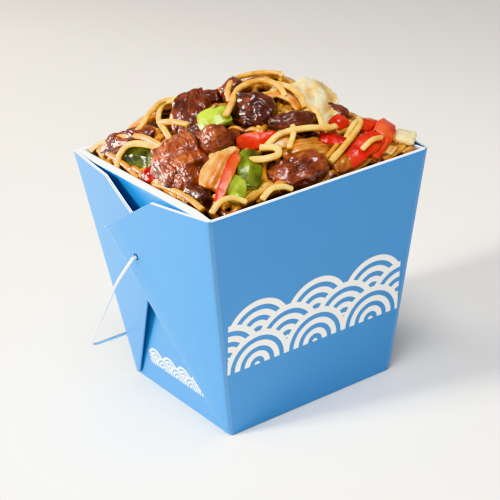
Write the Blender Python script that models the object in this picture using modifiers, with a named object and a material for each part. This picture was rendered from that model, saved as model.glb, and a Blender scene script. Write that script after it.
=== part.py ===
"""Noodle takeaway box: a folded paperboard pail with a wire bail, heaped with
noodles, beef, peppers, onion and a cabbage leaf.

+Z is up, the origin is the middle of the base, the printed front faces -Y and the ends
with the folded webs face -X and +X. Sizes are in millimetres, a scale at which Blender's
Booleans keep their precision, and main() scales the finished meshes to metres.
"""
import math

import bmesh
import bpy
from mathutils import Matrix, Vector, noise

MM_TO_M = 0.001

# ---- carton: one folded sheet of board
HEIGHT = 100.0
TOP_LENGTH = 104.0
TOP_WIDTH = 96.0
BASE_LENGTH = 82.0
BASE_WIDTH = 68.0
BOARD = 0.5
WEB_STACK = 1.2            # the two layers of a web, at the corner they fold from
CORNER = 0.6               # fold radius of the upright corners, inside the webs
CORNER_STEPS = 1
WEB_ROOT = 1.1             # a web's fan starts this far from the corner's edge
WEB_BEND = (               # its bend round the corner: distance in, depth
    (0.27, -1.20), (0.27, 0.10), (0.38, 0.55), (0.66, 0.86))
END_HEM = 1.8              # radius of the closure flap's fold over an end wall
SIDE_HEM = 0.7             # and over the front and back walls
HEM_STEPS = 4
HEM_DROP = 3.0             # how far the folded flaps run down inside
HEM_TAPER = 12.0           # stretch over which the end fold narrows to its corner

# ---- webs: the corner gussets, folded flat on to the outside of the end walls
CREASE = math.radians(57.0)   # crease above the base line
LAYER_PITCH = 0.8             # from the outer to the inner layer
FRONT_FLARE = 0.080           # stand-off for each millimetre from the base corner
BACK_FLARE = 0.056
FULL_FLARE = math.radians(34.0)
PEAK_ACROSS = 29.5            # the web's top outline: its peak ...
PEAK_RISE = -0.3
CREASE_LENGTH = 94.5          # ... and its end on the crease
WEB_START = 1.5
UNDER_GAP = 1.5               # the back web lies this far under the front web
UNDER_EASE = 0.35             # and closes up below it at this rate

FLAT = math.radians(0.3)      # faces this close to one plane are merged
CRUMB = 0.02                  # points this close together are one

# ---- bail: one bent steel wire, hooked through the webs
WIRE = 1.3
PIVOT_Z = 70.7
PIVOT_X = 56.2                # where the wire comes out of the web
FOOT_X = 49.3                 # its hooked foot, between the web and the end wall
FOOT_LENGTH = 3.8
SPLAY = ((16.0, 3.3), (65.0, 4.0))    # down a leg: length from the pivot, swing out
REST_ANGLE = math.radians(-54.5)
HOLE = 3.0
HOLE_START = 1.2              # the drill starts this far outside the end wall
HOLE_END = 12.0
BEND_RADII = (1.2, 1.2, 4.0, 6.0)
BEND_STEPS = 3

# ---- food
GAP = 0.3                     # between touching pieces
HEAP_STEPS = (4.5, 7.5)       # the heap widens under the hem, this far below the rim
HEAP_CORNER = 0.018           # its corners are drawn in by this share
SHEET_CUT = (0.9, 0.5)        # the heap's cutters: gap and share of the faces kept
CHUNK_CUT = (1.3, 0.8)
HEAP_GRID = (12, 11)
HEAP_EDGE = 98.0              # heap height at the rim, and its rise in the middle
HEAP_RISE = 22.0
HEAP_PEAK = (13.0, 10.0)
HEAP_REACH = {"left": 62.0, "right": 36.0, "front": 58.0, "back": 37.0}
HEAP_POWER = 2.3              # how full the dome is
HEAP_SWELLS = (               # x, y, radius, height
    (-23, 27, 9, 4.5), (-39, 36, 9, 4.0), (20, 8, 12, 3.5), (43, -33, 11, 6.0))
RIPPLE = 0.7

BEEF = (                      # tail, head, width, thickness, bend, face
    ((-43, 38, 101), (-36, 25, 106), 11, 9, 0.1, (-0.4, -0.3, 0.9)),
    ((-38, 31, 107), (-32, 17, 109), 7, 6, 0.1, (-0.3, -0.3, 0.9)),
    ((-26, 0, 109), (-13, 18, 122), 17, 9, 0.1, (-0.5, -0.6, 0.6)),
    ((-9, 19, 117), (-2, 11, 119), 8, 7, 0.0, (-0.2, -0.5, 0.8)),
    ((-4, 8, 119), (8, 12, 123), 11, 9, 0.2, (-0.2, -0.6, 0.8)),
    ((-32, 6, 111), (-41, -23, 104), 21, 11, 0.3, (-0.5, -0.3, 0.8)),
    ((-33, -11, 111), (-16, -17, 116), 12, 9, 0.5, (-0.4, -0.6, 0.7)),
    ((-6, 1, 118), (3, -15, 116), 16, 13, 0.1, (-0.5, -0.7, 0.5)),
    ((-2, -18, 116), (16, -26, 114), 9, 6, 0.2, (-0.4, -0.7, 0.5)),
    ((-16, -38, 102), (11, -39, 103), 13, 11, 0.2, (-0.2, -0.6, 0.8)),
    ((-42, -21, 101), (-42, -34, 100), 8, 7, 0.1, (-0.5, -0.5, 0.7)),
    ((27, -15, 115), (31, -24, 111), 7, 5, 0.0, (0.2, -0.4, 0.9)),
    ((28, 30, 106), (8, 37, 105), 13, 10, 0.2, (0.1, 0.6, 0.8)),
    ((41, 15, 104), (35, -2, 108), 12, 9, 0.2, (0.6, 0.1, 0.8)),
)
PEPPER_GREEN = (              # tail, head, width, thickness, arcs along and across, face
    ((-43, 24, 102), (-39, 6, 105), 13, 3.5, 20, 95, (-0.7, -0.3, 0.7)),
    ((-21, 1, 115), (-10, -4, 118), 9, 3.5, 60, 20, (-0.4, -0.5, 0.8)),
    ((-17, -26, 111), (-27, -39, 103), 9, 4.0, 35, 50, (-0.2, -0.7, 0.7)),
    ((-28, -33, 106), (-35, -42, 101), 7, 4.0, 30, 30, (-0.3, -0.6, 0.7)),
    ((0, 28, 111), (-16, 38, 105), 9, 3.5, 50, 50, (-0.1, 0.6, 0.8)),
)
PEPPER_RED = (
    ((-45, 4, 100), (-42, -2, 102), 6, 4.0, 10, 60, (-0.7, -0.3, 0.7)),
    ((-17, -18, 112), (-2, -25, 112), 6, 3.5, 25, 30, (-0.4, -0.8, 0.5)),
    ((-21, -25, 112), (-42, -40, 102), 4, 3.0, 55, 20, (-0.4, -0.6, 0.7)),
    ((15, -42, 101), (36, -38, 106), 8, 4.0, 55, 40, (-0.1, -0.6, 0.8)),
    ((27, -43, 102), (45, -32, 107), 8, 4.5, 55, 45, (0.2, -0.6, 0.8)),
    ((12, -31, 109), (20, -36, 107), 6, 4.0, 20, 40, (0.0, -0.5, 0.9)),
    ((31, -30, 108), (41, -31, 107), 6, 4.0, 20, 40, (0.1, -0.5, 0.9)),
    ((21, -27, 111), (29, -26, 111), 6, 4.0, 20, 40, (0.0, -0.6, 0.8)),
    ((38, 38, 102), (42, 20, 104), 8, 4.0, 45, 45, (0.6, 0.4, 0.7)),
)
ONION = (
    ((-39, -30, 104), (-21, -20, 113), 12, 2.5, 35, 75, (-0.5, -0.5, 0.7)),
    ((-6, -33, 108), (13, -35, 108), 12, 2.5, 45, 85, (-0.1, -0.6, 0.8)),
    ((-9, -27, 111), (2, -30, 111), 7, 2.5, 50, 40, (-0.2, -0.6, 0.8)),
    ((9, -42, 102), (20, -42, 103), 8, 2.5, 30, 50, (0.0, -0.6, 0.8)),
    ((43, -44, 103.4), (50, -37, 103.9), 9, 2.5, 20, 25, (0.1, -0.2, 1.0)),
    ((-18, 30, 112), (-30, 40, 105), 11, 2.5, 40, 75, (-0.2, 0.6, 0.8)),
)
CABBAGE = (
    ((26, -3, 123), (20, -28, 111), 20, 1.4, 35, 60, (-0.1, -0.7, 0.7)),
)

CHUNK_RINGS = (8, 6)
SHEET_GRID = (6, 2)
LEAF_GRID = (6, 4)

COLOURS = {                   # linear base colour and roughness
    "printed_board": ((0.07, 0.25, 0.60), 0.45),
    "steel_wire": ((0.60, 0.61, 0.62), 0.30),
    "noodle": ((0.78, 0.50, 0.17), 0.35),
    "beef": ((0.13, 0.035, 0.018), 0.30),
    "green_pepper": ((0.22, 0.34, 0.03), 0.25),
    "red_pepper": ((0.62, 0.04, 0.015), 0.25),
    "onion": ((0.80, 0.45, 0.14), 0.30),
    "cabbage": ((0.80, 0.72, 0.42), 0.35),
}


def clear_scene():
    for obj in list(bpy.data.objects):
        bpy.data.objects.remove(obj, do_unlink=True)


def collection(name):
    made = bpy.data.collections.new(name)
    bpy.context.scene.collection.children.link(made)
    return made


def material(name):
    """One Principled material for each kind of sub-part."""
    found = bpy.data.materials.get(name)
    if found:
        return found
    colour, roughness = COLOURS[name]
    made = bpy.data.materials.new(name)
    made.use_nodes = True
    shader = made.node_tree.nodes["Principled BSDF"]
    shader.inputs["Base Color"].default_value = (*colour, 1.0)
    shader.inputs["Roughness"].default_value = roughness
    shader.inputs["Metallic"].default_value = 1.0 if name == "steel_wire" else 0.0
    return made


def mesh_object(name, bm, where, looks=None):
    """Turn a bmesh into a named object with its own material."""
    bmesh.ops.recalc_face_normals(bm, faces=bm.faces)
    mesh = bpy.data.meshes.new(name)
    bm.to_mesh(mesh)
    bm.free()
    obj = bpy.data.objects.new(name, mesh)
    where.objects.link(obj)
    if looks:
        mesh.materials.append(material(looks))
    return obj


def skin(bm, rows, closed=False):
    """Join rows of points into a surface of quads."""
    grid = [[bm.verts.new(point) for point in row] for row in rows]
    for low, high in zip(grid, grid[1:]):
        last = len(low) if closed else len(low) - 1
        for i in range(last):
            j = (i + 1) % len(low)
            bm.faces.new((low[i], low[j], high[j], high[i]))
    return grid


def solidify(obj, thickness, offset):
    shell = obj.modifiers.new("thickness", "SOLIDIFY")
    shell.thickness = thickness
    shell.offset = offset
    shell.use_even_offset = True


def bake(obj):
    """Apply an object's modifiers and cut its faces into triangles, which stay flat."""
    depsgraph = bpy.context.evaluated_depsgraph_get()
    mesh = bpy.data.meshes.new_from_object(obj.evaluated_get(depsgraph))
    obj.modifiers.clear()
    old = obj.data
    obj.data = mesh
    bpy.data.meshes.remove(old)
    bm = bmesh.new()
    bm.from_mesh(mesh)
    bmesh.ops.dissolve_limit(bm, angle_limit=FLAT, verts=bm.verts, edges=bm.edges)
    bmesh.ops.triangulate(bm, faces=bm.faces)
    bm.to_mesh(mesh)
    bm.free()


def boolean(obj, other, operation):
    cut = obj.modifiers.new(operation.lower(), "BOOLEAN")
    cut.operation = operation
    cut.solver = "EXACT"
    cut.object = other
    bake(obj)


def keep_largest(obj):
    """Drop the crumbs that a cut leaves: keep the piece with the most faces."""
    bm = bmesh.new()
    bm.from_mesh(obj.data)
    bmesh.ops.remove_doubles(bm, verts=bm.verts, dist=CRUMB)
    bmesh.ops.dissolve_degenerate(bm, edges=bm.edges, dist=CRUMB)
    left = set(bm.verts)
    islands = []
    while left:
        stack = [left.pop()]
        island = set(stack)
        while stack:
            for edge in stack.pop().link_edges:
                for vert in edge.verts:
                    if vert in left:
                        left.remove(vert)
                        island.add(vert)
                        stack.append(vert)
        islands.append(island)
    islands.sort(key=len)
    crumbs = [vert for island in islands[:-1] for vert in island]
    bmesh.ops.delete(bm, geom=crumbs, context="VERTS")
    bm.to_mesh(obj.data)
    bm.free()


# ---------------------------------------------------------------- carton

def half_sizes(z):
    """Half length and half width of the outside of the pail at height z."""
    share = z / HEIGHT
    half_x = (BASE_LENGTH + (TOP_LENGTH - BASE_LENGTH) * share) / 2
    half_y = (BASE_WIDTH + (TOP_WIDTH - BASE_WIDTH) * share) / 2
    return half_x - WEB_STACK, half_y


def plan(z):
    """Outline at height z, its corners rounded. Each point comes with its outward normal
    and the ways that a fold at the rim moves it: corners go in both, end walls in X."""
    half_x, half_y = half_sizes(z)
    points = []
    for corner in range(4):
        start = corner * math.pi / 2
        sign_x = 1 if corner in (0, 3) else -1
        sign_y = 1 if corner in (0, 1) else -1
        middle = Vector((sign_x * (half_x - CORNER), sign_y * (half_y - CORNER), z))
        for step in range(CORNER_STEPS + 1):
            angle = start + step * math.pi / 2 / CORNER_STEPS
            normal = Vector((math.cos(angle), math.sin(angle), 0))
            points.append((middle + normal * CORNER, normal, Vector((-sign_x, -sign_y, 0))))
        if corner in (1, 3):                 # the end walls carry two more points
            turn = 1 if corner == 3 else -1
            for across in (-half_y + HEM_TAPER, half_y - HEM_TAPER)[::turn]:
                side = Vector((turn, 0, 0))
                points.append((Vector((turn * half_x, across, z)), side, -side))
    return points


def folded_flap(point, normal, ways, turn):
    """Where a rim point goes when its closure flap has turned over by this angle. The
    fold is wide over the ends, narrow over the front and back and at the front corners."""
    from_front = (point.y + half_sizes(HEIGHT)[1]) / HEM_TAPER
    end_radius = SIDE_HEM + (END_HEM - SIDE_HEM) * max(0.0, min(1.0, from_front))
    radius = end_radius * normal.x ** 2 + SIDE_HEM * normal.y ** 2
    inward = 1 - math.cos(turn)
    shift = Vector((ways.x * end_radius * inward, ways.y * SIDE_HEM * inward, 0))
    return point + shift + Vector((0, 0, radius * (math.sin(turn) - 1)))


def pail(where):
    """Base, four walls and the closure flaps folded down inside the rim."""
    bm = bmesh.new()
    rows = [[point for point, _, _ in plan(0.0)]]
    for step in range(HEM_STEPS + 1):
        turn = math.pi * step / HEM_STEPS
        rows.append([folded_flap(*spot, turn) for spot in plan(HEIGHT)])
    rows.append([point - Vector((0, 0, HEM_DROP)) for point in rows[-1]])
    grid = skin(bm, rows, closed=True)
    bm.faces.new(reversed(grid[0]))
    obj = mesh_object("carton", bm, where, "printed_board")
    if obj.data.polygons[-1].normal.z > 0:
        obj.data.flip_normals()
    solidify(obj, BOARD, -1.0)
    bake(obj)
    return obj


def end_frame(side_x, side_y):
    """Frame of an end wall: base corner, corner edge, in-plane and outward axes."""
    half_x, half_y = half_sizes(0.0)
    top_x, top_y = half_sizes(HEIGHT)
    base = Vector((side_x * half_x, side_y * half_y, 0))
    across = Vector((0, -side_y, 0))
    up = Vector((side_x * (top_x - half_x), 0, HEIGHT)).normalized()
    outward = Vector((side_x * HEIGHT, 0, half_x - top_x)).normalized()
    edge = (Vector((side_x * top_x, side_y * top_y, HEIGHT)) - base)
    return base, across, up, outward, edge


def flare(angle_from_edge, length, amount):
    share = max(0.0, min(1.0, angle_from_edge / FULL_FLARE))
    return amount * share * length


def web_outline():
    """The web's top outline, seen square on from the base corner: tip, peak, low end."""
    half_x, half_y = half_sizes(0.0)
    top_x, top_y = half_sizes(HEIGHT)
    slant = math.hypot(HEIGHT, top_x - half_x)
    tip = Vector((half_y - top_y, slant))
    peak = Vector((half_y - top_y + PEAK_ACROSS, slant + PEAK_RISE))
    low = CREASE_LENGTH * Vector((math.cos(CREASE), math.sin(CREASE)))
    return tip, peak, low


def web_reach(angle):
    """Length of the ray at this angle above the base line, up to the web's outline."""
    tip, peak, low = web_outline()
    ray = Vector((math.cos(angle), math.sin(angle)))
    start, end = (tip, peak) if angle >= math.atan2(peak.y, peak.x) else (peak, low)
    along = end - start
    return (start.x * along.y - start.y * along.x) / (ray.x * along.y - ray.y * along.x)


def web(side_x, side_y, where):
    """One gusset: an outer layer from the front or back wall, folded at the crease
    on to an inner layer that runs back to the end wall's edge."""
    base, across, up, outward, edge = end_frame(side_x, side_y)
    edge_angle = math.atan2(edge.dot(up), edge.dot(across))
    across_edge = (across - edge.normalized() * across.dot(edge.normalized())).normalized()
    front = side_y < 0
    amount = FRONT_FLARE if front else BACK_FLARE
    half_y = half_sizes(0.0)[1]
    outer_depth = WEB_STACK - BOARD / 2
    peak = web_outline()[1]
    peak_angle = math.atan2(peak.y, peak.x)
    fan = [edge_angle, (edge_angle + peak_angle) / 2, peak_angle,
           (peak_angle + CREASE) / 2, CREASE]
    shares = (0.0, 1.0) if front else (0.0, 0.5, 0.75, 1.0)

    def on_fan(angle, share, depth, beyond=0.0):
        length = WEB_START + (web_reach(angle) - WEB_START) * share
        rise = flare(edge_angle - angle, length, amount)
        point = base + across_edge * WEB_ROOT + across * (length * math.cos(angle) + beyond)
        point += up * length * math.sin(angle)
        if not front:                        # the front web presses it down
            height = (point - base).dot(up)
            from_front = point.y + half_y
            over = math.atan2(height, from_front)
            over_length = math.hypot(height, from_front)
            cover = flare(edge_angle - over, over_length, FRONT_FLARE) - UNDER_GAP
            cover += max(0.0, CREASE - over) * over_length * UNDER_EASE
            rise = min(rise, max(0.0, cover))
        return point + outward * (depth + rise)

    rows = []
    for share in shares:
        row = []
        for inward, depth in WEB_BEND:
            length = WEB_START + (edge.length - WEB_START) * share
            row.append(base + edge.normalized() * length + across_edge * inward
                       + outward * depth)
        row += [on_fan(angle, share, outer_depth) for angle in fan]
        middle = outer_depth - LAYER_PITCH / 2
        row.append(on_fan(CREASE, share, middle, LAYER_PITCH / 2))
        inner = outer_depth - LAYER_PITCH
        row += [on_fan(angle, share, inner) for angle in reversed(fan)]
        rows.append(row)
    bm = bmesh.new()
    skin(bm, rows)
    obj = mesh_object("web", bm, where)
    solidify(obj, BOARD, 0.0)
    bake(obj)
    return obj


def cylinder_x(radius, start, end, z, where):
    """Closed cylinder along X, for drilling."""
    bm = bmesh.new()
    turn = Matrix.Translation(((start + end) / 2, 0, z)) @ Matrix.Rotation(math.pi / 2, 4, "Y")
    bmesh.ops.create_cone(bm, cap_ends=True, segments=16, radius1=radius, radius2=radius,
                          depth=abs(end - start), matrix=turn)
    obj = mesh_object("drill", bm, where)
    obj.display_type = "WIRE"
    obj.hide_render = True
    return obj


def build_carton(where, cutters):
    carton = pail(where)
    for side_x in (-1, 1):
        for side_y in (1, -1):
            gusset = web(side_x, side_y, cutters)
            boolean(carton, gusset, "UNION")
            bpy.data.objects.remove(gusset)
        wall = half_sizes(PIVOT_Z)[0]
        drill = cylinder_x(HOLE / 2, side_x * (wall + HOLE_START),
                           side_x * (wall + HOLE_END), PIVOT_Z, cutters)
        boolean(carton, drill, "DIFFERENCE")
    return carton


# ---------------------------------------------------------------- bail

def rounded(points, radii):
    """Polyline with its inner corners rounded by short arcs."""
    route = [points[0]]
    for before, corner, after, radius in zip(points, points[1:], points[2:], radii):
        to_before = (before - corner).normalized()
        to_after = (after - corner).normalized()
        for step in range(BEND_STEPS + 1):
            share = step / BEND_STEPS
            start = corner + to_before * radius
            end = corner + to_after * radius
            low = start.lerp(corner, share)
            high = corner.lerp(end, share)
            route.append(low.lerp(high, share))
    route.append(points[-1])
    return route


def build_bail(where):
    """Hooked feet in the end gaps, splayed legs and a straight crossbar."""
    along = Vector((0, math.cos(REST_ANGLE), math.sin(REST_ANGLE)))

    def side(sign):
        right = Vector((sign, 0, 0))
        leg = [right * (PIVOT_X + swing) + along * length for length, swing in SPLAY]
        return [right * FOOT_X - along * FOOT_LENGTH, right * FOOT_X, right * PIVOT_X, *leg]

    points = side(-1) + side(1)[::-1]
    radii = BEND_RADII + BEND_RADII[::-1]
    curve = bpy.data.curves.new("bail", "CURVE")
    curve.dimensions = "3D"
    curve.bevel_depth = WIRE / 2 * MM_TO_M
    curve.bevel_resolution = 2
    curve.use_fill_caps = True
    route = rounded(points, radii)
    spline = curve.splines.new("POLY")
    spline.points.add(len(route) - 1)
    for point, place in zip(spline.points, route):
        point.co = (*(place * MM_TO_M), 1.0)
    curve.materials.append(material("steel_wire"))
    obj = bpy.data.objects.new("bail", curve)
    obj.location = (0, 0, PIVOT_Z * MM_TO_M)
    where.objects.link(obj)
    return obj


# ---------------------------------------------------------------- food

def heap_height(x, y):
    """Height of the heap's top."""
    across = (x - HEAP_PEAK[0]) / HEAP_REACH["left" if x < HEAP_PEAK[0] else "right"]
    along = (y - HEAP_PEAK[1]) / HEAP_REACH["front" if y < HEAP_PEAK[1] else "back"]
    share = (1 - min(1, abs(across)) ** HEAP_POWER) * (1 - min(1, abs(along)) ** HEAP_POWER)
    height = HEAP_EDGE + HEAP_RISE * share
    for swell_x, swell_y, radius, rise in HEAP_SWELLS:
        away = math.hypot(x - swell_x, y - swell_y) / radius
        height += rise * math.exp(-away * away)
    ripple = noise.noise(Vector((x / 7, y / 7, 3.7))) * 2
    edge = min(1, (51 - abs(x)) / 8, (47 - abs(y)) / 8)
    return height + RIPPLE * ripple * max(0, edge)


def build_heap(where):
    """The noodles as one solid: it fills the pail and rises to the uneven top."""
    columns, lines = HEAP_GRID
    bm = bmesh.new()

    def half_inside(z, hem):
        half_x, half_y = half_sizes(z)
        extra_x = 2 * END_HEM if hem else 0.0
        extra_y = 2 * SIDE_HEM if hem else 0.0
        wall = BOARD * (2 if hem else 1) + 2 * GAP
        return half_x - wall - extra_x, half_y - wall - extra_y

    def spot(i, j, half_x, half_y):
        """Grid point in a rectangle with its corners drawn in."""
        u = 2 * i / columns - 1
        v = 2 * j / lines - 1
        draw = 1 - HEAP_CORNER * (abs(u) ** 12) * (abs(v) ** 12)
        return u * half_x * draw, v * half_y * draw

    half_x, half_y = half_inside(HEIGHT, True)
    rows = []
    for j in range(lines + 1):
        row = []
        for i in range(columns + 1):
            x, y = spot(i, j, half_x, half_y)
            row.append(Vector((x, y, heap_height(x, y))))
        rows.append(row)
    grid = skin(bm, rows)
    ring = [(i, 0) for i in range(columns)]
    ring += [(columns, j) for j in range(lines)]
    ring += [(i, lines) for i in range(columns, 0, -1)]
    ring += [(0, j) for j in range(lines, 0, -1)]
    above = [grid[j][i] for i, j in ring]
    levels = ((HEIGHT - HEAP_STEPS[0], True), (HEIGHT - HEAP_STEPS[1], False),
              (BOARD + GAP, False))
    for z, hem in levels:
        half_x, half_y = half_inside(z, hem)
        below = []
        for i, j in ring:
            x, y = spot(i, j, half_x, half_y)
            below.append(bm.verts.new((x, y, z)))
        for k, vert in enumerate(above):
            n = (k + 1) % len(above)
            bm.faces.new((vert, above[n], below[n], below[k]))
        above = below
    bm.faces.new(above)
    obj = mesh_object("noodle_heap", bm, where, "noodle")
    bake(obj)
    return obj


def seat(tail, head, face):
    """Frame of a piece: X from tail to head, Z towards its face, origin midway."""
    tail, head = Vector(tail), Vector(head)
    along = (head - tail).normalized()
    up = (Vector(face) - along * along.dot(Vector(face))).normalized()
    across = up.cross(along)
    frame = Matrix((along, across, up)).transposed().to_4x4()
    frame.translation = (tail + head) / 2
    return frame, (head - tail).length


def chunk(name, looks, seed, spec, where):
    """An uneven lump of meat, blocky, bent and knobbly."""
    tail, head, width, thickness, bend, face = spec
    frame, length = seat(tail, head, face)
    bm = bmesh.new()
    segments, rings = CHUNK_RINGS
    bmesh.ops.create_uvsphere(bm, u_segments=segments, v_segments=rings, radius=1.0,
                              matrix=Matrix.Rotation(math.pi / 2, 4, "Y"))
    for vert in bm.verts:
        way = vert.co.copy()
        block = Vector([math.copysign(abs(part) ** 0.8, part) for part in way])
        lump = noise.noise(way * 1.3 + Vector((seed, 0, 0)))
        knob = noise.noise(way * 3.1 + Vector((0, seed, 0)))
        block *= 1 + 0.30 * lump + 0.16 * knob
        vert.co = (block.x * length / 2, block.y * width / 2,
                   block.z * thickness / 2)
        vert.co.z -= bend * thickness * (block.x ** 2 - 0.4)
    bmesh.ops.transform(bm, matrix=frame, verts=bm.verts)
    obj = mesh_object(name, bm, where, looks)
    bake(obj)
    return obj


def curved_sheet(name, looks, seed, spec, where, grid=SHEET_GRID, wave=0.25):
    """A strip, petal or leaf: a sheet bent along and across, then thickened."""
    tail, head, width, thickness, arc_along, arc_across, face = spec
    frame, length = seat(tail, head, face)
    bend_along = math.radians(arc_along)
    bend_across = math.radians(arc_across)
    chord = math.sin(bend_along / 2) / (bend_along / 2)
    radius_along = length / chord / bend_along
    radius_across = width / bend_across
    columns, lines = grid
    rows = []
    for j in range(lines + 1):
        row = []
        v = 2 * j / lines - 1
        for i in range(columns + 1):
            u = 2 * i / columns - 1
            narrow = 1 - 0.32 * abs(u) ** 3
            swing = noise.noise(Vector((u * 1.6 + seed, v * 1.2, 0)))
            angle = v * narrow * bend_across / 2 * (1 + 0.35 * swing)
            lean = u * bend_along / 2
            lift = radius_across * (math.cos(angle) - 1) + wave * swing * thickness
            reach = radius_along + lift
            row.append((reach * math.sin(lean), radius_across * math.sin(angle),
                        reach * math.cos(lean) - radius_along))
        rows.append(row)
    middle = sum(rows[lines // 2][i][2] for i in (0, columns // 2, columns)) / 3
    rows = [[Vector((x, y, z - middle)) for x, y, z in row] for row in rows]
    bm = bmesh.new()
    skin(bm, rows)
    bmesh.ops.transform(bm, matrix=frame, verts=bm.verts)
    obj = mesh_object(name, bm, where, looks)
    solidify(obj, thickness, 0.0)
    bake(obj)
    return obj


def grown(obj, cutters, gap, detail=1.0):
    """A cutter: the piece, larger by the gap all round and as simple as asked."""
    copy = obj.copy()
    copy.data = obj.data.copy()
    copy.name = "cut_" + obj.name
    copy.data.materials.clear()
    cutters.objects.link(copy)
    if detail < 1.0:
        simpler = copy.modifiers.new("simpler", "DECIMATE")
        simpler.ratio = detail
        bake(copy)
    for vert in copy.data.vertices:
        vert.co += vert.normal * gap
    copy.display_type = "WIRE"
    copy.hide_render = True
    return copy


def boxes_meet(one, other):
    lows = [[min(v.co[k] for v in o.data.vertices) for k in range(3)] for o in (one, other)]
    tops = [[max(v.co[k] for v in o.data.vertices) for k in range(3)] for o in (one, other)]
    return all(lows[0][k] < tops[1][k] and lows[1][k] < tops[0][k] for k in range(3))


def build_toppings(where, cutters):
    """Every topping gives way to the ones before it, so that none overlap."""
    pieces = []
    for i, spec in enumerate(BEEF):
        piece = chunk(f"beef_{i + 1}", "beef", 11.3 + 7.1 * i, spec, where)
        pieces.append((piece, CHUNK_CUT))
    sheets = (("green_pepper", PEPPER_GREEN), ("red_pepper", PEPPER_RED), ("onion", ONION))
    for kind, specs in sheets:
        for i, spec in enumerate(specs):
            piece = curved_sheet(f"{kind}_{i + 1}", kind, 3.3 + 5.7 * i, spec, where)
            pieces.append((piece, SHEET_CUT))
    for spec in CABBAGE:
        piece = curved_sheet("cabbage_leaf", "cabbage", 9.1, spec, where, LEAF_GRID, wave=1.2)
        pieces.append((piece, SHEET_CUT))
    settled = []
    heap_cutters = []
    for piece, cut in pieces:
        cutter = grown(piece, cutters, GAP)
        heap_cutters.append(grown(piece, cutters, *cut))
        for earlier in settled:
            if boxes_meet(piece, earlier):
                boolean(piece, earlier, "DIFFERENCE")
        keep_largest(piece)
        settled.append(cutter)
    return heap_cutters


def main():
    clear_scene()
    parts = collection("noodle_takeaway_box")
    cutters = collection("cutters")
    build_carton(parts, cutters)
    build_bail(parts)
    heap = build_heap(parts)
    for cutter in build_toppings(parts, cutters):
        boolean(heap, cutter, "DIFFERENCE")
    keep_largest(heap)
    for obj in [*parts.objects, *cutters.objects]:
        if obj.type == "MESH":
            obj.data.transform(Matrix.Scale(MM_TO_M, 4))


if __name__ == "__main__":
    main()
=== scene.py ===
"""Noodle takeaway box: a printed paperboard pail with a wire bail, heaped with noodles,
beef, peppers, onion and a cabbage leaf.

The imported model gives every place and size. Here its solids get their surfaces: the
pail is folded again from finer board, the heap becomes strands laid over a smaller
core, and each topping is rounded, wrinkled and glazed. Lengths in the functions are in
millimetres; mesh_object() scales them to metres.
"""
import math
import random

import bmesh
import bpy
import numpy as np
from bpy.props import FloatProperty, FloatVectorProperty, IntProperty, PointerProperty
from mathutils import Matrix, Vector, noise
from mathutils.bvhtree import BVHTree


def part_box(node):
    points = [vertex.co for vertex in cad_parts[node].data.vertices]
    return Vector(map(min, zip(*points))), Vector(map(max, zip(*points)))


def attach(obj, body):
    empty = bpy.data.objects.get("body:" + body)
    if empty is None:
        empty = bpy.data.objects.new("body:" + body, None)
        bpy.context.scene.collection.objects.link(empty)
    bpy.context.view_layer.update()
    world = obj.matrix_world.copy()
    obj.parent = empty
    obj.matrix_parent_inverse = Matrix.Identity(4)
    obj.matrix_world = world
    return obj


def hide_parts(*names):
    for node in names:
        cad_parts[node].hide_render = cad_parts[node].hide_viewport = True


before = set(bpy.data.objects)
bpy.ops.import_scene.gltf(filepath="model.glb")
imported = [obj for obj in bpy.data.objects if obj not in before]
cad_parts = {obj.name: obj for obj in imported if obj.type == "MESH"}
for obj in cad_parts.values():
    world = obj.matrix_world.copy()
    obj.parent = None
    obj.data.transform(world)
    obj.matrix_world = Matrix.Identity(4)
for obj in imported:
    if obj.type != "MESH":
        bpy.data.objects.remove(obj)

bl_info = {
    "name": "Noodle takeaway box",
    "version": (1, 0, 0),
    "blender": (4, 5, 0),
    "location": "3D View > Sidebar > Noodle box",
    "description": "Builds the looks of a heaped noodle takeaway box",
    "category": "Object",
}

MM = 0.001
BOX_BODY = "box"
BAIL_BODY = "bail"


def linear(code):
    """An sRGB hex colour, such as "#4A89CB", as linear red, green and blue."""
    parts = [int(code[i:i + 2], 16) / 255 for i in (1, 3, 5)]
    return [part / 12.92 if part <= 0.04045 else ((part + 0.055) / 1.055) ** 2.4
            for part in parts]


# ------------------------------------------------------------------ settings

class CartonSettings(bpy.types.PropertyGroup):
    """Sizes and colours of the folded board."""
    board: FloatProperty(
        name="Board", description="Thickness of the paperboard", default=0.0004,
        unit="LENGTH", precision=5)
    print_blue: FloatVectorProperty(
        name="Print", description="Ink that covers the outside", subtype="COLOR",
        size=3, min=0.0, max=1.0, default=linear("#348BC8"))
    board_white: FloatVectorProperty(
        name="Board white", description="Bleached board: inside, flaps and cut edges",
        subtype="COLOR", size=3, min=0.0, max=1.0, default=linear("#F1F3F4"))
    pattern_white: FloatVectorProperty(
        name="Pattern", description="Pale ink of the wave pattern", subtype="COLOR",
        size=3, min=0.0, max=1.0, default=linear("#EEECE6"))


class FoodSettings(bpy.types.PropertyGroup):
    """Sizes of the food's small forms."""
    noodle: FloatProperty(
        name="Noodle", description="Thickness of a cooked noodle", default=0.0023,
        unit="LENGTH", precision=5)
    strands: IntProperty(
        name="Strands", description="Noodles laid over the core", default=150, min=0)
    seed: IntProperty(name="Seed", description="Lie of the scattered noodles", default=7)


class StageSettings(bpy.types.PropertyGroup):
    """Floor, light and camera."""
    floor: FloatVectorProperty(
        name="Floor", description="Plain pale floor", subtype="COLOR", size=3,
        min=0.0, max=1.0, default=linear("#E2E0DD"))
    key_power: FloatProperty(
        name="Key", description="Power of the large soft light on the left", default=5.0,
        unit="POWER", min=0.0)
    azimuth: FloatProperty(
        name="Azimuth", description="Camera round the box, 0 looks along +Y",
        default=math.radians(-33.8), subtype="ANGLE")
    elevation: FloatProperty(
        name="Elevation", description="Camera above the horizon",
        default=math.radians(25.07), subtype="ANGLE")


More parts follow.
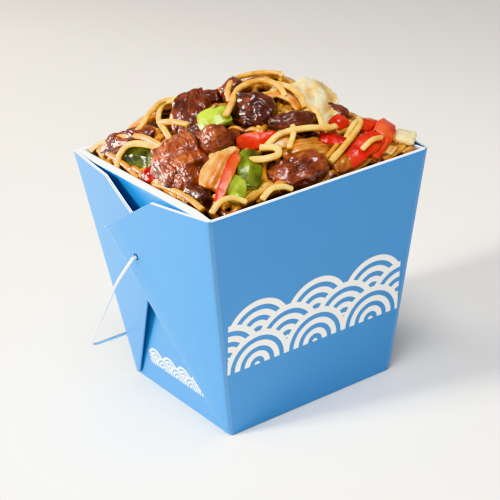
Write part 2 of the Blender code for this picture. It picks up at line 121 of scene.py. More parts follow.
# ------------------------------------------------------------------ meshes

def mesh_object(name, points, faces, materials, body=BOX_BODY):
    """A smooth mesh from points in millimetres, riding on a body of the model."""
    mesh = bpy.data.meshes.new(name)
    mesh.from_pydata((np.asarray(points) * MM).tolist(), [], list(faces))
    mesh.update()
    mesh.shade_smooth()
    for material in materials:
        mesh.materials.append(material)
    obj = bpy.data.objects.new(name, mesh)
    bpy.context.scene.collection.objects.link(obj)
    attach(obj, body)
    return obj


def evaluated(obj):
    """The object's mesh with its modifiers applied; the modifiers are then cleared."""
    depsgraph = bpy.context.evaluated_depsgraph_get()
    mesh = bpy.data.meshes.new_from_object(obj.evaluated_get(depsgraph))
    obj.modifiers.clear()
    obj.data = mesh
    return mesh


def points_of(mesh):
    """The mesh's points in millimetres."""
    flat = np.empty(len(mesh.vertices) * 3)
    mesh.vertices.foreach_get("co", flat)
    return flat.reshape(-1, 3) / MM


def normals_of(mesh):
    flat = np.empty(len(mesh.vertices) * 3)
    mesh.vertex_normals.foreach_get("vector", flat)
    return flat.reshape(-1, 3)


def move_points(mesh, points):
    mesh.vertices.foreach_set("co", (points * MM).ravel())
    mesh.update()


def store(mesh, name, values):
    """Keep a number or a vector for each point, for the shader to read."""
    values = np.asarray(values, dtype=float)
    kind = "FLOAT_VECTOR" if values.ndim == 2 else "FLOAT"
    made = mesh.attributes.new(name, kind, "POINT")
    made.data.foreach_set("vector" if values.ndim == 2 else "value", values.ravel())


def ripple(points, size, seed=0.0, octaves=1):
    """Smooth noise from -1 to 1 at each point; size is its grain, in millimetres, or
    three sizes along the three axes."""
    scaled = points / np.asarray(size) + seed
    total = np.zeros(len(scaled))
    for octave in range(octaves):
        share = 0.5 ** octave
        total += share * np.array([noise.noise(Vector(p)) for p in scaled * 2 ** octave])
    return total * 1.6


def solid_tree(names):
    """Search tree over some of the model's solids, in millimetres."""
    points = []
    faces = []
    for name in names:
        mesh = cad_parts[name].data
        start = len(points)
        points += [Vector(p) for p in points_of(mesh)]
        faces += [[start + i for i in face.vertices] for face in mesh.polygons]
    return BVHTree.FromPolygons(points, faces)


def numbered(kind):
    """Names of the model's nodes of one kind, in order."""
    found = [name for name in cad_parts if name.rsplit("_", 1)[0] == kind]
    return sorted(found, key=lambda name: int(name.rsplit("_", 1)[1]))


# ------------------------------------------------------------------ materials

def add(tree, kind, sockets=None, stops=(), **settings):
    """Add a shader node with its settings, and give its outputs. A socket takes a value,
    or another node's output, which is linked. Stops are a ramp's places, each with a hex
    colour or a grey."""
    made = tree.nodes.new(kind)
    for name, value in settings.items():
        setattr(made, name, value)
    for key, value in (sockets or {}).items():
        if isinstance(value, bpy.types.NodeSocket):
            tree.links.new(value, made.inputs[key])
        else:
            made.inputs[key].default_value = value
    if stops:
        elements = made.color_ramp.elements
        while len(elements) < len(stops):
            elements.new(1.0)
        for element, (place, tone) in zip(elements, stops):
            element.position = place
            element.color = (*(linear(tone) if isinstance(tone, str) else [tone] * 3), 1.0)
    return made.outputs


def new_material(name):
    """A material whose node tree is still empty."""
    material = bpy.data.materials.new(name)
    material.use_nodes = True
    material.node_tree.nodes.clear()
    return material


def paperboard_white(settings):
    """Bleached kraft board, uncoated: a soft matt white with a faint fibre."""
    material = new_material("bleached_paperboard")
    tree = material.node_tree
    place = add(tree, "ShaderNodeTexCoord")["Object"]
    fibre = add(tree, "ShaderNodeTexNoise", {
        "Vector": place, "Scale": 1 / (0.6 * MM), "Detail": 3.0})["Fac"]
    relief = add(tree, "ShaderNodeBump", {"Height": fibre, "Distance": 0.02 * MM})[0]
    shader = add(tree, "ShaderNodeBsdfPrincipled", {
        "Base Color": (*settings.board_white, 1.0), "Roughness": 0.7, "IOR": 1.45,
        "Normal": relief})[0]
    add(tree, "ShaderNodeOutputMaterial", {"Surface": shader})
    return material


PATTERN_RADIUS = 14.0          # of one wave scale on the front
PATTERN_ROWS = 3
PATTERN_MIDDLE = 40.0          # height of the band's middle on the front
PATTERN_SCALES = 3             # either side of the middle
SIDE_RADIUS = 5.2              # the small band at the foot of the left end
SIDE_ROWS = 2
SIDE_MIDDLE = 13.5
SIDE_SCALES = 4
SCALE_REACH = 1.09             # a scale's outer ring ends this share beyond its radius
SCALE_RINGS = ((0.0, 1.0), (0.08, 0.0), (0.225, 1.0), (0.39, 0.0), (0.53, 1.0),
               (0.695, 0.0), (0.835, 1.0))


def wave_scales(tree, across, up, radius, rows, middle, half_width):
    """Share of pale ink in a band of overlapping wave scales: rows of ringed discs, each
    row half a disc to the side and in front of the row above. Lengths in millimetres."""
    ink = 0.0
    for row in reversed(range(rows)):
        shift = radius * (200 + row % 2)
        low = middle + (row - rows / 2) * radius / 2
        moved = add(tree, "ShaderNodeMath", {0: across, 1: shift})[0]
        side = add(tree, "ShaderNodeMath", {0: moved, 1: radius}, operation="PINGPONG")[0]
        height = add(tree, "ShaderNodeMath", {0: up, 1: low}, operation="SUBTRACT")[0]
        spot = add(tree, "ShaderNodeCombineXYZ", {"X": side, "Y": height})[0]
        away = add(tree, "ShaderNodeVectorMath", {0: spot}, operation="LENGTH")["Value"]
        share = add(tree, "ShaderNodeMath", {0: away, 1: radius * SCALE_REACH},
                    operation="DIVIDE")[0]
        ring = add(tree, "ShaderNodeValToRGB", {"Fac": share}, SCALE_RINGS)
        ring[0].node.color_ramp.interpolation = "CONSTANT"
        inside = add(tree, "ShaderNodeMath", {0: share, 1: 1.0}, operation="LESS_THAN")[0]
        above = add(tree, "ShaderNodeMath", {0: height, 1: 0.0}, operation="GREATER_THAN")[0]
        front = add(tree, "ShaderNodeMath", {0: inside, 1: above}, operation="MULTIPLY")[0]
        ink = add(tree, "ShaderNodeMix", {0: front, 2: ink, 3: ring[0]})[0]
    off = add(tree, "ShaderNodeMath", {0: across}, operation="ABSOLUTE")[0]
    edge = add(tree, "ShaderNodeMath", {0: off, 1: half_width}, operation="LESS_THAN")[0]
    return add(tree, "ShaderNodeMath", {0: ink, 1: edge}, operation="MULTIPLY")[0]


def paperboard_printed(settings):
    """Coated paperboard, litho printed and varnished: satin blue ink that is a little
    worn where the board is folded, and bands of wave scales in pale ink."""
    material = new_material("printed_paperboard")
    tree = material.node_tree
    place = add(tree, "ShaderNodeTexCoord")["Object"]
    lengths = add(tree, "ShaderNodeVectorMath", {0: place, 1: (1 / MM,) * 3},
                  operation="MULTIPLY")[0]
    wide, deep, high = add(tree, "ShaderNodeSeparateXYZ", {0: lengths})
    facing = add(tree, "ShaderNodeNewGeometry")["Normal"]
    facing = add(tree, "ShaderNodeSeparateXYZ", {0: facing})

    front = add(tree, "ShaderNodeMath", {0: facing["Y"], 1: -0.9}, operation="LESS_THAN")[0]
    band = wave_scales(tree, wide, high, PATTERN_RADIUS, PATTERN_ROWS, PATTERN_MIDDLE,
                       PATTERN_SCALES * PATTERN_RADIUS)
    band = add(tree, "ShaderNodeMath", {0: band, 1: front}, operation="MULTIPLY")[0]
    end = add(tree, "ShaderNodeMath", {0: facing["X"], 1: -0.8}, operation="LESS_THAN")[0]
    small = wave_scales(tree, deep, high, SIDE_RADIUS, SIDE_ROWS, SIDE_MIDDLE,
                        SIDE_SCALES * SIDE_RADIUS)
    small = add(tree, "ShaderNodeMath", {0: small, 1: end}, operation="MULTIPLY")[0]
    pale = add(tree, "ShaderNodeMath", {0: band, 1: small}, operation="MAXIMUM")[0]

    blue = np.array(settings.print_blue)
    cloud = add(tree, "ShaderNodeTexNoise", {
        "Vector": place, "Scale": 1 / (25 * MM), "Detail": 1.0})["Fac"]
    ink = add(tree, "ShaderNodeMix", {0: cloud, 6: (*blue * 0.96, 1.0), 7: (*blue * 1.04, 1.0)},
              data_type="RGBA")[2]
    bent = add(tree, "ShaderNodeAttribute", attribute_name="bent")["Fac"]
    worn = add(tree, "ShaderNodeMath", {0: bent, 1: 0.06}, operation="MULTIPLY")[0]
    ink = add(tree, "ShaderNodeMix", {0: worn, 6: ink, 7: (*settings.board_white, 1.0)},
              data_type="RGBA")[2]
    colour = add(tree, "ShaderNodeMix", {0: pale, 6: ink, 7: (*settings.pattern_white, 1.0)},
                 data_type="RGBA")[2]
    peel = add(tree, "ShaderNodeTexNoise", {
        "Vector": place, "Scale": 1 / (1.2 * MM), "Detail": 2.0})["Fac"]
    relief = add(tree, "ShaderNodeBump", {"Height": peel, "Distance": 0.01 * MM})[0]
    shader = add(tree, "ShaderNodeBsdfPrincipled", {
        "Base Color": colour, "Roughness": 0.45, "IOR": 1.5, "Coat Weight": 0.7,
        "Coat Roughness": 0.3, "Normal": relief})[0]
    add(tree, "ShaderNodeOutputMaterial", {"Surface": shader})
    return material


def zinc_wire():
    """Zinc-plated mild steel wire, drawn: bright, with fine lines along it."""
    material = new_material("zinc_plated_wire")
    tree = material.node_tree
    grain = add(tree, "ShaderNodeAttribute", attribute_name="grain")["Vector"]
    along = add(tree, "ShaderNodeVectorMath", {0: grain, 1: (0.03, 1, 1)},
                operation="MULTIPLY")[0]
    lines = add(tree, "ShaderNodeTexNoise", {"Vector": along, "Scale": 4.0})["Fac"]
    rough = add(tree, "ShaderNodeValToRGB", {"Fac": lines}, ((0.3, 0.22), (0.7, 0.32)))[0]
    shader = add(tree, "ShaderNodeBsdfPrincipled", {
        "Base Color": (*linear("#E2E4E6"), 1.0), "Metallic": 1.0, "Roughness": rough})[0]
    add(tree, "ShaderNodeOutputMaterial", {"Surface": shader})
    return material


def wheat_noodle():
    """Boiled egg noodle tossed in soy sauce: translucent and wet, golden where it is clean and
    amber where the sauce has soaked in, with painted shade where it lies deep in the heap and
    painted light on its top."""
    material = new_material("boiled_egg_noodle")
    tree = material.node_tree
    place = add(tree, "ShaderNodeTexCoord")["Object"]
    grain = add(tree, "ShaderNodeAttribute", attribute_name="grain")["Vector"]
    along = add(tree, "ShaderNodeVectorMath", {0: grain, 1: (0.12, 1, 1)},
                operation="MULTIPLY")[0]
    tone = add(tree, "ShaderNodeAttribute", attribute_name="tone")["Fac"]
    soaked = add(tree, "ShaderNodeTexNoise", {
        "Vector": place, "Scale": 1 / (5 * MM), "Detail": 3.0})["Fac"]
    share = add(tree, "ShaderNodeMath", {0: soaked, 1: 0.9, 2: -0.45},
                operation="MULTIPLY_ADD")[0]
    share = add(tree, "ShaderNodeMath", {0: tone, 1: share})[0]
    colour = add(tree, "ShaderNodeValToRGB", {"Fac": share}, (
        (0.05, "#4E2208"), (0.28, "#8E4C16"), (0.5, "#C4842E"), (0.72, "#E2AC4E"),
        (1.0, "#F6D986")))[0]
    fibre = add(tree, "ShaderNodeTexNoise", {"Vector": along, "Scale": 2.0})["Fac"]
    relief = add(tree, "ShaderNodeBump", {"Height": fibre, "Distance": 0.05 * MM})[0]
    shader = add(tree, "ShaderNodeBsdfPrincipled", {
        "Base Color": colour, "Roughness": 0.35, "IOR": 1.42,
        "Subsurface Weight": 0.25, "Subsurface Radius": (1.0, 0.6, 0.25),
        "Subsurface Scale": 1.2 * MM, "Coat Weight": 1.0, "Coat Roughness": 0.05,
        "Normal": relief})[0]
    add(tree, "ShaderNodeOutputMaterial", {"Surface": shader})
    return material


def sauce_and_painted_shade_core():
    """What lies under the top strands: wet soy sauce, painted dark nearly to black as the shade
    in the gaps between the strands.
    """
    material = new_material("soy_sauce_and_painted_shade")
    tree = material.node_tree
    place = add(tree, "ShaderNodeTexCoord")["Object"]
    patch = add(tree, "ShaderNodeTexNoise", {
        "Vector": place, "Scale": 1 / (5 * MM), "Detail": 4.0})["Fac"]
    # painted shade: these near-black browns stand for the shade between the strands as well as
    # the sauce
    colour = add(tree, "ShaderNodeValToRGB", {"Fac": patch}, (
        (0.3, "#150703"), (0.5, "#2E1308"), (0.7, "#5A2B10")))[0]
    lumps = add(tree, "ShaderNodeTexNoise", {
        "Vector": place, "Scale": 1 / (2.5 * MM), "Detail": 3.0})["Fac"]
    relief = add(tree, "ShaderNodeBump", {"Height": lumps, "Distance": 0.7 * MM})[0]
    shader = add(tree, "ShaderNodeBsdfPrincipled", {
        "Base Color": colour, "Roughness": 0.3, "IOR": 1.4, "Coat Weight": 0.3,
        "Coat Roughness": 0.1, "Normal": relief})[0]
    add(tree, "ShaderNodeOutputMaterial", {"Surface": shader})
    return material


def braised_beef():
    """Sliced beef, seared and glazed: red-brown muscle with painted light that makes it paler and
    pinker on its ridges and painted shade that makes it nearly black in its folds, under a wet
    gloss that breaks up over the fibres."""
    material = new_material("glazed_beef")
    tree = material.node_tree
    grain = add(tree, "ShaderNodeAttribute", attribute_name="grain")["Vector"]
    along = add(tree, "ShaderNodeVectorMath", {0: grain, 1: (0.15, 1, 1)},
                operation="MULTIPLY")[0]
    relief = add(tree, "ShaderNodeAttribute", attribute_name="relief")["Fac"]
    tone = add(tree, "ShaderNodeAttribute", attribute_name="tone")["Fac"]
    mottle = add(tree, "ShaderNodeTexNoise", {
        "Vector": grain, "Scale": 1 / 4.5, "Detail": 4.0, "Roughness": 0.6})["Fac"]
    fibres = add(tree, "ShaderNodeTexNoise", {
        "Vector": along, "Scale": 1 / 0.8, "Detail": 3.0, "Roughness": 0.6})["Fac"]
    # painted light and shade: the relief lightens the ridges and darkens the folds
    share = add(tree, "ShaderNodeMath", {0: relief, 1: 0.45, 2: tone},
                operation="MULTIPLY_ADD")[0]
    share = add(tree, "ShaderNodeMath", {0: mottle, 1: 0.9, 2: share},
                operation="MULTIPLY_ADD")[0]
    share = add(tree, "ShaderNodeMath", {0: fibres, 1: 0.7, 2: share},
                operation="MULTIPLY_ADD")[0]
    share = add(tree, "ShaderNodeMath", {0: share, 1: 1.08}, operation="SUBTRACT")[0]
    colour = add(tree, "ShaderNodeValToRGB", {"Fac": share}, (
        (0.05, "#2A0A04"), (0.27, "#561E0A"), (0.5, "#843817"), (0.72, "#AE602C"),
        (0.95, "#D89A60")))[0]
    strands = add(tree, "ShaderNodeBump", {"Height": fibres, "Distance": 0.4 * MM})[0]
    film = add(tree, "ShaderNodeTexNoise", {
        "Vector": grain, "Scale": 1 / 1.6, "Detail": 2.0})["Fac"]
    wet = add(tree, "ShaderNodeBump", {"Height": film, "Distance": 0.22 * MM})[0]
    shader = add(tree, "ShaderNodeBsdfPrincipled", {
        "Base Color": colour, "Roughness": 0.42, "IOR": 1.4,
        "Subsurface Weight": 0.1, "Subsurface Radius": (1.0, 0.3, 0.15),
        "Subsurface Scale": 1.2 * MM, "Coat Weight": 1.0, "Coat Roughness": 0.05,
        "Coat Normal": wet, "Normal": strands})[0]
    add(tree, "ShaderNodeOutputMaterial", {"Surface": shader})
    return material


def bell_pepper(name, skins, flesh, pith):
    """Stir-fried bell pepper: a waxy skin over paler wet flesh. A strip's tone picks how
    dark its skin is; the flesh shows on its underside and its cut edges."""
    material = new_material(name)
    tree = material.node_tree
    grain = add(tree, "ShaderNodeAttribute", attribute_name="grain")["Vector"]
    outer = add(tree, "ShaderNodeAttribute", attribute_name="skin")["Fac"]
    tone = add(tree, "ShaderNodeAttribute", attribute_name="tone")["Fac"]
    mottle = add(tree, "ShaderNodeTexNoise", {
        "Vector": grain, "Scale": 1 / 8, "Detail": 3.0})["Fac"]
    share = add(tree, "ShaderNodeMath", {0: mottle, 1: 1.3, 2: tone},
                operation="MULTIPLY_ADD")[0]
    share = add(tree, "ShaderNodeMath", {0: share, 1: 0.65}, operation="SUBTRACT")[0]
    skin = add(tree, "ShaderNodeValToRGB", {"Fac": share}, skins)[0]
    inner = add(tree, "ShaderNodeValToRGB", {"Fac": mottle}, ((0.4, flesh), (0.65, pith)))[0]
    cut = add(tree, "ShaderNodeMath", {0: mottle, 1: 0.3, 2: outer},
              operation="MULTIPLY_ADD")[0]
    cut = add(tree, "ShaderNodeValToRGB", {"Fac": cut}, ((0.5, 0.0), (0.85, 1.0)))[0]
    colour = add(tree, "ShaderNodeMix", {0: cut, 6: inner, 7: skin}, data_type="RGBA")[2]
    speck = add(tree, "ShaderNodeTexNoise", {"Vector": grain, "Scale": 1 / 1.4})["Fac"]
    relief = add(tree, "ShaderNodeBump", {"Height": speck, "Distance": 0.18 * MM})[0]
    shader = add(tree, "ShaderNodeBsdfPrincipled", {
        "Base Color": colour, "Roughness": 0.25, "IOR": 1.36,
        "Subsurface Weight": 0.15, "Subsurface Radius": (1.0, 0.5, 0.15),
        "Subsurface Scale": 1.0 * MM, "Coat Weight": 0.3, "Coat Roughness": 0.05,
        "Normal": relief})[0]
    add(tree, "ShaderNodeOutputMaterial", {"Surface": shader})
    return material


def cooked_onion():
    """Onion petal softened in sauce: translucent amber, ribbed along its length."""
    material = new_material("sauteed_onion")
    tree = material.node_tree
    grain = add(tree, "ShaderNodeAttribute", attribute_name="grain")["Vector"]
    along = add(tree, "ShaderNodeVectorMath", {0: grain, 1: (0.08, 1, 1)},
                operation="MULTIPLY")[0]
    tone = add(tree, "ShaderNodeAttribute", attribute_name="tone")["Fac"]
    streak = add(tree, "ShaderNodeTexNoise", {"Vector": along, "Scale": 1 / 1.1})["Fac"]
    patch = add(tree, "ShaderNodeTexNoise", {
        "Vector": grain, "Scale": 1 / 6, "Detail": 3.0})["Fac"]
    share = add(tree, "ShaderNodeMath", {0: streak, 1: 0.7, 2: tone},
                operation="MULTIPLY_ADD")[0]
    share = add(tree, "ShaderNodeMath", {0: patch, 1: 0.8, 2: share},
                operation="MULTIPLY_ADD")[0]
    share = add(tree, "ShaderNodeMath", {0: share, 1: 0.7}, operation="SUBTRACT")[0]
    colour = add(tree, "ShaderNodeValToRGB", {"Fac": share}, (
        (0.2, "#8A3D12"), (0.42, "#BD6C28"), (0.6, "#D99A50"), (0.8, "#EBC98A"),
        (1.0, "#F3E3B4")))[0]
    relief = add(tree, "ShaderNodeBump", {"Height": streak, "Distance": 0.06 * MM})[0]
    shader = add(tree, "ShaderNodeBsdfPrincipled", {
        "Base Color": colour, "Roughness": 0.24, "IOR": 1.4, "Transmission Weight": 0.12,
        "Subsurface Weight": 0.45, "Subsurface Radius": (1.0, 0.5, 0.2),
        "Subsurface Scale": 1.6 * MM, "Coat Weight": 0.5, "Coat Roughness": 0.07,
        "Normal": relief})[0]
    add(tree, "ShaderNodeOutputMaterial", {"Surface": shader})
    return material


def cooked_cabbage():
    """White cabbage wilted in the wok: thin, pale, translucent, with raised veins that are paler,
    and painted shade that makes its hollows darker and amber."""
    material = new_material("wilted_cabbage")
    tree = material.node_tree
    grain = add(tree, "ShaderNodeAttribute", attribute_name="grain")["Vector"]
    # veins are paler in their own colour; the hollows are darker as painted shade
    vein_and_hollow_shade = add(tree, "ShaderNodeAttribute", attribute_name="relief")["Fac"]
    patch = add(tree, "ShaderNodeTexNoise", {
        "Vector": grain, "Scale": 1 / 7, "Detail": 3.0})["Fac"]
    share = add(tree, "ShaderNodeMath", {0: vein_and_hollow_shade, 1: 0.45, 2: patch},
                operation="MULTIPLY_ADD")[0]
    colour = add(tree, "ShaderNodeValToRGB", {"Fac": share}, (
        (0.45, "#B4762F"), (0.6, "#D9AC66"), (0.75, "#EBD096"), (0.92, "#F7EFD0")))[0]
    pucker = add(tree, "ShaderNodeTexNoise", {"Vector": grain, "Scale": 1 / 1.5})["Fac"]
    relief = add(tree, "ShaderNodeBump", {"Height": pucker, "Distance": 0.15 * MM})[0]
    shader = add(tree, "ShaderNodeBsdfPrincipled", {
        "Base Color": colour, "Roughness": 0.3, "IOR": 1.4, "Transmission Weight": 0.12,
        "Subsurface Weight": 0.5, "Subsurface Radius": (1.0, 0.7, 0.35),
        "Subsurface Scale": 1.5 * MM, "Coat Weight": 0.4, "Coat Roughness": 0.1,
        "Normal": relief})[0]
    add(tree, "ShaderNodeOutputMaterial", {"Surface": shader})
    return material


def painted_floor(settings):
    """Matt painted board, pale and even."""
    material = new_material("painted_floor")
    tree = material.node_tree
    shader = add(tree, "ShaderNodeBsdfPrincipled", {
        "Base Color": (*settings.floor, 1.0), "Roughness": 0.8})[0]
    add(tree, "ShaderNodeOutputMaterial", {"Surface": shader})
    return material


# ------------------------------------------------------------------ carton

HEIGHT = 100.0
TOP_LENGTH, TOP_WIDTH = 104.0, 96.0
BASE_LENGTH, BASE_WIDTH = 82.0, 68.0
WEB_STACK = 1.2             # two layers of a web, at the corner they fold from
CORNER = 0.7                # fold radius of the upright corners
SUPPORT = 0.5               # a row this close to a fold keeps the flats flat
END_HEM, SIDE_HEM = 1.8, 0.7        # fold radius of the closure flaps at the rim
HEM_DROP = 4.0
HEM_TAPER = 12.0            # the end fold narrows to its front corner over this
CREASE = math.radians(57.0)
BACK_CREASE = math.radians(60.5)
LAYER_PITCH = 0.8
FRONT_FLARE, BACK_FLARE = 0.080, 0.056      # stand-off for each millimetre of length
FULL_FLARE = math.radians(34.0)
WEB_START = 1.5
WEB_ROOT = 1.1
WEB_BEND = ((0.27, -0.8), (0.27, 0.10), (0.38, 0.55), (0.66, 0.86))
PEAK_ACROSS, PEAK_RISE = 29.5, -0.3
CREASE_LENGTH = 94.5
UNDER_GAP, UNDER_EASE = 1.5, 0.35           # how the front web presses on the back one
PIVOT_Z = 70.7
HOLE = 3.0


def half_sizes(z):
    """Half length and half width of the outside of the pail at a height."""
    share = z / HEIGHT
    half_x = (BASE_LENGTH + (TOP_LENGTH - BASE_LENGTH) * share) / 2
    half_y = (BASE_WIDTH + (TOP_WIDTH - BASE_WIDTH) * share) / 2
    return half_x - WEB_STACK, half_y


def pail_outline(z):
    """Outline of the pail at a height: its point, its outward normal, and 1 where the
    board is bent round a corner."""
    half_x, half_y = half_sizes(z)
    spots = []
    for corner in range(4):
        start = corner * math.pi / 2
        way_x = 1 if corner in (0, 3) else -1
        way_y = 1 if corner in (0, 1) else -1
        middle = np.array((way_x * (half_x - CORNER), way_y * (half_y - CORNER), z))
        for turn in np.linspace(start, start + math.pi / 2, 6):
            normal = np.array((math.cos(turn), math.sin(turn), 0.0))
            spots.append((middle + normal * CORNER, normal, 1.0))
        end = start + math.pi / 2
        normal = np.array((round(math.cos(end)), round(math.sin(end)), 0.0))
        run = np.array((-normal[1], normal[0], 0.0))
        flat = 2 * (half_x if abs(normal[1]) > 0.5 else half_y) - 2 * CORNER
        steps = [SUPPORT, 2, 4, 6, 8, 10, 12, flat / 2]
        steps += [flat - step for step in steps[-2::-1]]
        first = middle + normal * CORNER
        for step in steps:
            spots.append((first + run * step, normal, 0.0))
    return spots


def folded_flap(spot, turn):
    """Where a rim point goes when its closure flap has turned over by this angle."""
    point, normal, _ = spot
    half_x, half_y = half_sizes(HEIGHT)
    from_front = (point[1] + half_y) / HEM_TAPER
    end_radius = SIDE_HEM + (END_HEM - SIDE_HEM) * max(0.0, min(1.0, from_front))
    radius = end_radius * normal[0] ** 2 + SIDE_HEM * normal[1] ** 2
    inward = 1 - math.cos(turn)
    return point + np.array((-point[0] / half_x * end_radius * inward,
                             -point[1] / half_y * SIDE_HEM * inward,
                             radius * (math.sin(turn) - 1)))


class Sheet:
    """Rows of points of a folded board, with its ink and its bent places."""

    def __init__(self):
        self.points = []
        self.faces = []
        self.bare = []                # 1 for a face without ink
        self.bent = []

    def grid(self, rows, bends, closed=False, bare_from=None):
        start = len(self.points)
        wide = len(rows[0])
        for row, bend in zip(rows, bends):
            self.points += list(row)
            self.bent += list(bend)
        for r in range(len(rows) - 1):
            for k in range(wide if closed else wide - 1):
                n = (k + 1) % wide
                low = start + r * wide
                self.faces.append((low + k, low + n, low + wide + n, low + wide + k))
                self.bare.append(int(bare_from is not None and r >= bare_from))
        return start

    def build(self, name, board, printed, bleached):
        """Thicken the sheet: ink outside, bleached board inside and on cut edges."""
        obj = mesh_object(name, self.points, self.faces, [printed, bleached])
        mesh = obj.data
        mesh.polygons.foreach_set("material_index", self.bare)
        store(mesh, "bent", self.bent)
        shell = obj.modifiers.new("board", "SOLIDIFY")
        shell.thickness = board
        shell.offset = 0.0 if name.startswith("web") else -1.0
        shell.material_offset = 1
        shell.material_offset_rim = 1
        return obj


def pail_sheet():
    sheet = Sheet()
    levels = [0.0, SUPPORT, 12, 25, 38, 50, 62, 75, 88, HEIGHT - 2 * END_HEM]
    rows = []
    bends = []
    for z in levels:
        outline = pail_outline(z)
        rows.append([spot[0] for spot in outline])
        bends.append([max(spot[2], float(z == 0)) for spot in outline])
    rim = pail_outline(HEIGHT)
    fold = len(rows)
    for turn in np.linspace(0, math.pi, 13):
        rows.append([folded_flap(spot, turn) for spot in rim])
        bends.append([0.0] * len(rim))
    rows.append([point - np.array((0, 0, HEM_DROP)) for point in rows[-1]])
    bends.append([0.0] * len(rim))
    start = sheet.grid(rows, bends, closed=True, bare_from=fold + 1)
    sheet.faces.append(tuple(start + k for k in reversed(range(len(rows[0])))))
    sheet.bare.append(0)
    return sheet


def flare(angle, length, amount):
    """How far a web stands off at this angle from its corner's edge."""
    share = max(0.0, min(1.0, angle / FULL_FLARE))
    return amount * length * (share + 0.12 * math.sin(math.pi * share))


def web_sheet(side_x, side_y):
    """One gusset: an outer layer from the front or back wall, folded at the crease on
    to an inner layer that runs back to the end wall's edge."""
    half_x, half_y = half_sizes(0.0)
    top_x, top_y = half_sizes(HEIGHT)
    base = np.array((side_x * half_x, side_y * half_y, 0.0))
    across = np.array((0.0, -side_y, 0.0))
    up = np.array((side_x * (top_x - half_x), 0.0, HEIGHT))
    slant = np.linalg.norm(up)
    up /= slant
    outward = np.array((side_x * HEIGHT, 0.0, half_x - top_x)) / slant
    edge = np.array((side_x * top_x, side_y * top_y, HEIGHT)) - base
    long = np.linalg.norm(edge)
    edge /= long
    edge_angle = math.atan2(edge.dot(up), edge.dot(across))
    off_edge = across - edge * across.dot(edge)
    off_edge /= np.linalg.norm(off_edge)
    tip = np.array((half_y - top_y, slant))
    peak = np.array((half_y - top_y + PEAK_ACROSS, slant + PEAK_RISE))
    front = side_y < 0
    crease = CREASE if front else BACK_CREASE
    low = CREASE_LENGTH * np.array((math.cos(crease), math.sin(crease)))
    peak_angle = math.atan2(peak[1], peak[0])
    amount = FRONT_FLARE if front else BACK_FLARE
    outer = WEB_STACK - LAYER_PITCH / 4
    fan = list(np.linspace(edge_angle, peak_angle, 9))
    fan += list(np.linspace(peak_angle, crease, 15))[1:]

    def reach(angle):
        ray = (math.cos(angle), math.sin(angle))
        start, end = (tip, peak) if angle >= peak_angle else (peak, low)
        along = end - start
        return ((start[0] * along[1] - start[1] * along[0])
                / (ray[0] * along[1] - ray[1] * along[0]))

    def on_fan(angle, share, depth, beyond=0.0):
        length = WEB_START + (reach(angle) - WEB_START) * share
        rise = flare(edge_angle - angle, length, amount)
        point = base + off_edge * WEB_ROOT + up * length * math.sin(angle)
        point = point + across * (length * math.cos(angle) + beyond)
        if not front:
            height = (point - base).dot(up)
            from_front = point[1] + half_y
            over = math.atan2(height, from_front)
            over_length = math.hypot(height, from_front)
            cover = flare(edge_angle - over, over_length, FRONT_FLARE) - UNDER_GAP
            cover += max(0.0, CREASE - over) * over_length * UNDER_EASE
            rise = min(rise, max(0.0, cover))
        return point + outward * (depth + rise)

    rows = []
    bends = []
    for share in np.linspace(0, 1, 22):
        length = WEB_START + (long - WEB_START) * share
        row = [base + edge * length + off_edge * inward + outward * depth
               for inward, depth in WEB_BEND]
        row += [on_fan(angle, share, outer) for angle in fan]
        fold = LAYER_PITCH / 2
        row += [on_fan(crease, share, outer - fold * (1 - math.cos(turn)),
                       fold * math.sin(turn)) for turn in (math.pi / 4, math.pi / 2,
                                                           3 * math.pi / 4)]
        row += [on_fan(angle, share, outer - LAYER_PITCH) for angle in reversed(fan)]
        bend = [1.0] * len(WEB_BEND) + [0.0] * len(fan)
        bend[len(WEB_BEND) + len(fan) - 1] = 1.0
        bend += [1.0] * 3 + [0.0] * len(fan)
        rows.append(row)
        bends.append(bend)
    if side_x * side_y > 0:
        rows = [row[::-1] for row in rows]
        bends = [bend[::-1] for bend in bends]
    sheet = Sheet()
    sheet.grid(rows, bends)
    return sheet


def drill(side_x):
    """A punch for the bail's holes on one end."""
    bm = bmesh.new()
    wall = half_sizes(PIVOT_Z)[0]
    turn = Matrix.Rotation(math.pi / 2, 4, "Y")
    place = Matrix.Translation((side_x * (wall + 6.5) * MM, 0, PIVOT_Z * MM))
    bmesh.ops.create_cone(bm, cap_ends=True, segments=24, radius1=HOLE / 2 * MM,
                          radius2=HOLE / 2 * MM, depth=11 * MM, matrix=place @ turn)
    mesh = bpy.data.meshes.new("punch")
    bm.to_mesh(mesh)
    bm.free()
    obj = bpy.data.objects.new("punch", mesh)
    bpy.context.scene.collection.objects.link(obj)
    return obj


# ------------------------------------------------------------------ bail

PIVOT_X = 56.2                # where the wire comes out of the web
FOOT_X = 49.3
FOOT_LENGTH = 3.8
SPLAY = ((16.0, 3.3), (65.0, 4.0))      # down a leg: length from the pivot, swing out
BEND_RADII = (1.2, 1.2, 4.0, 6.0)
REST_ANGLE = math.radians(-54.5)
WIRE = 1.3


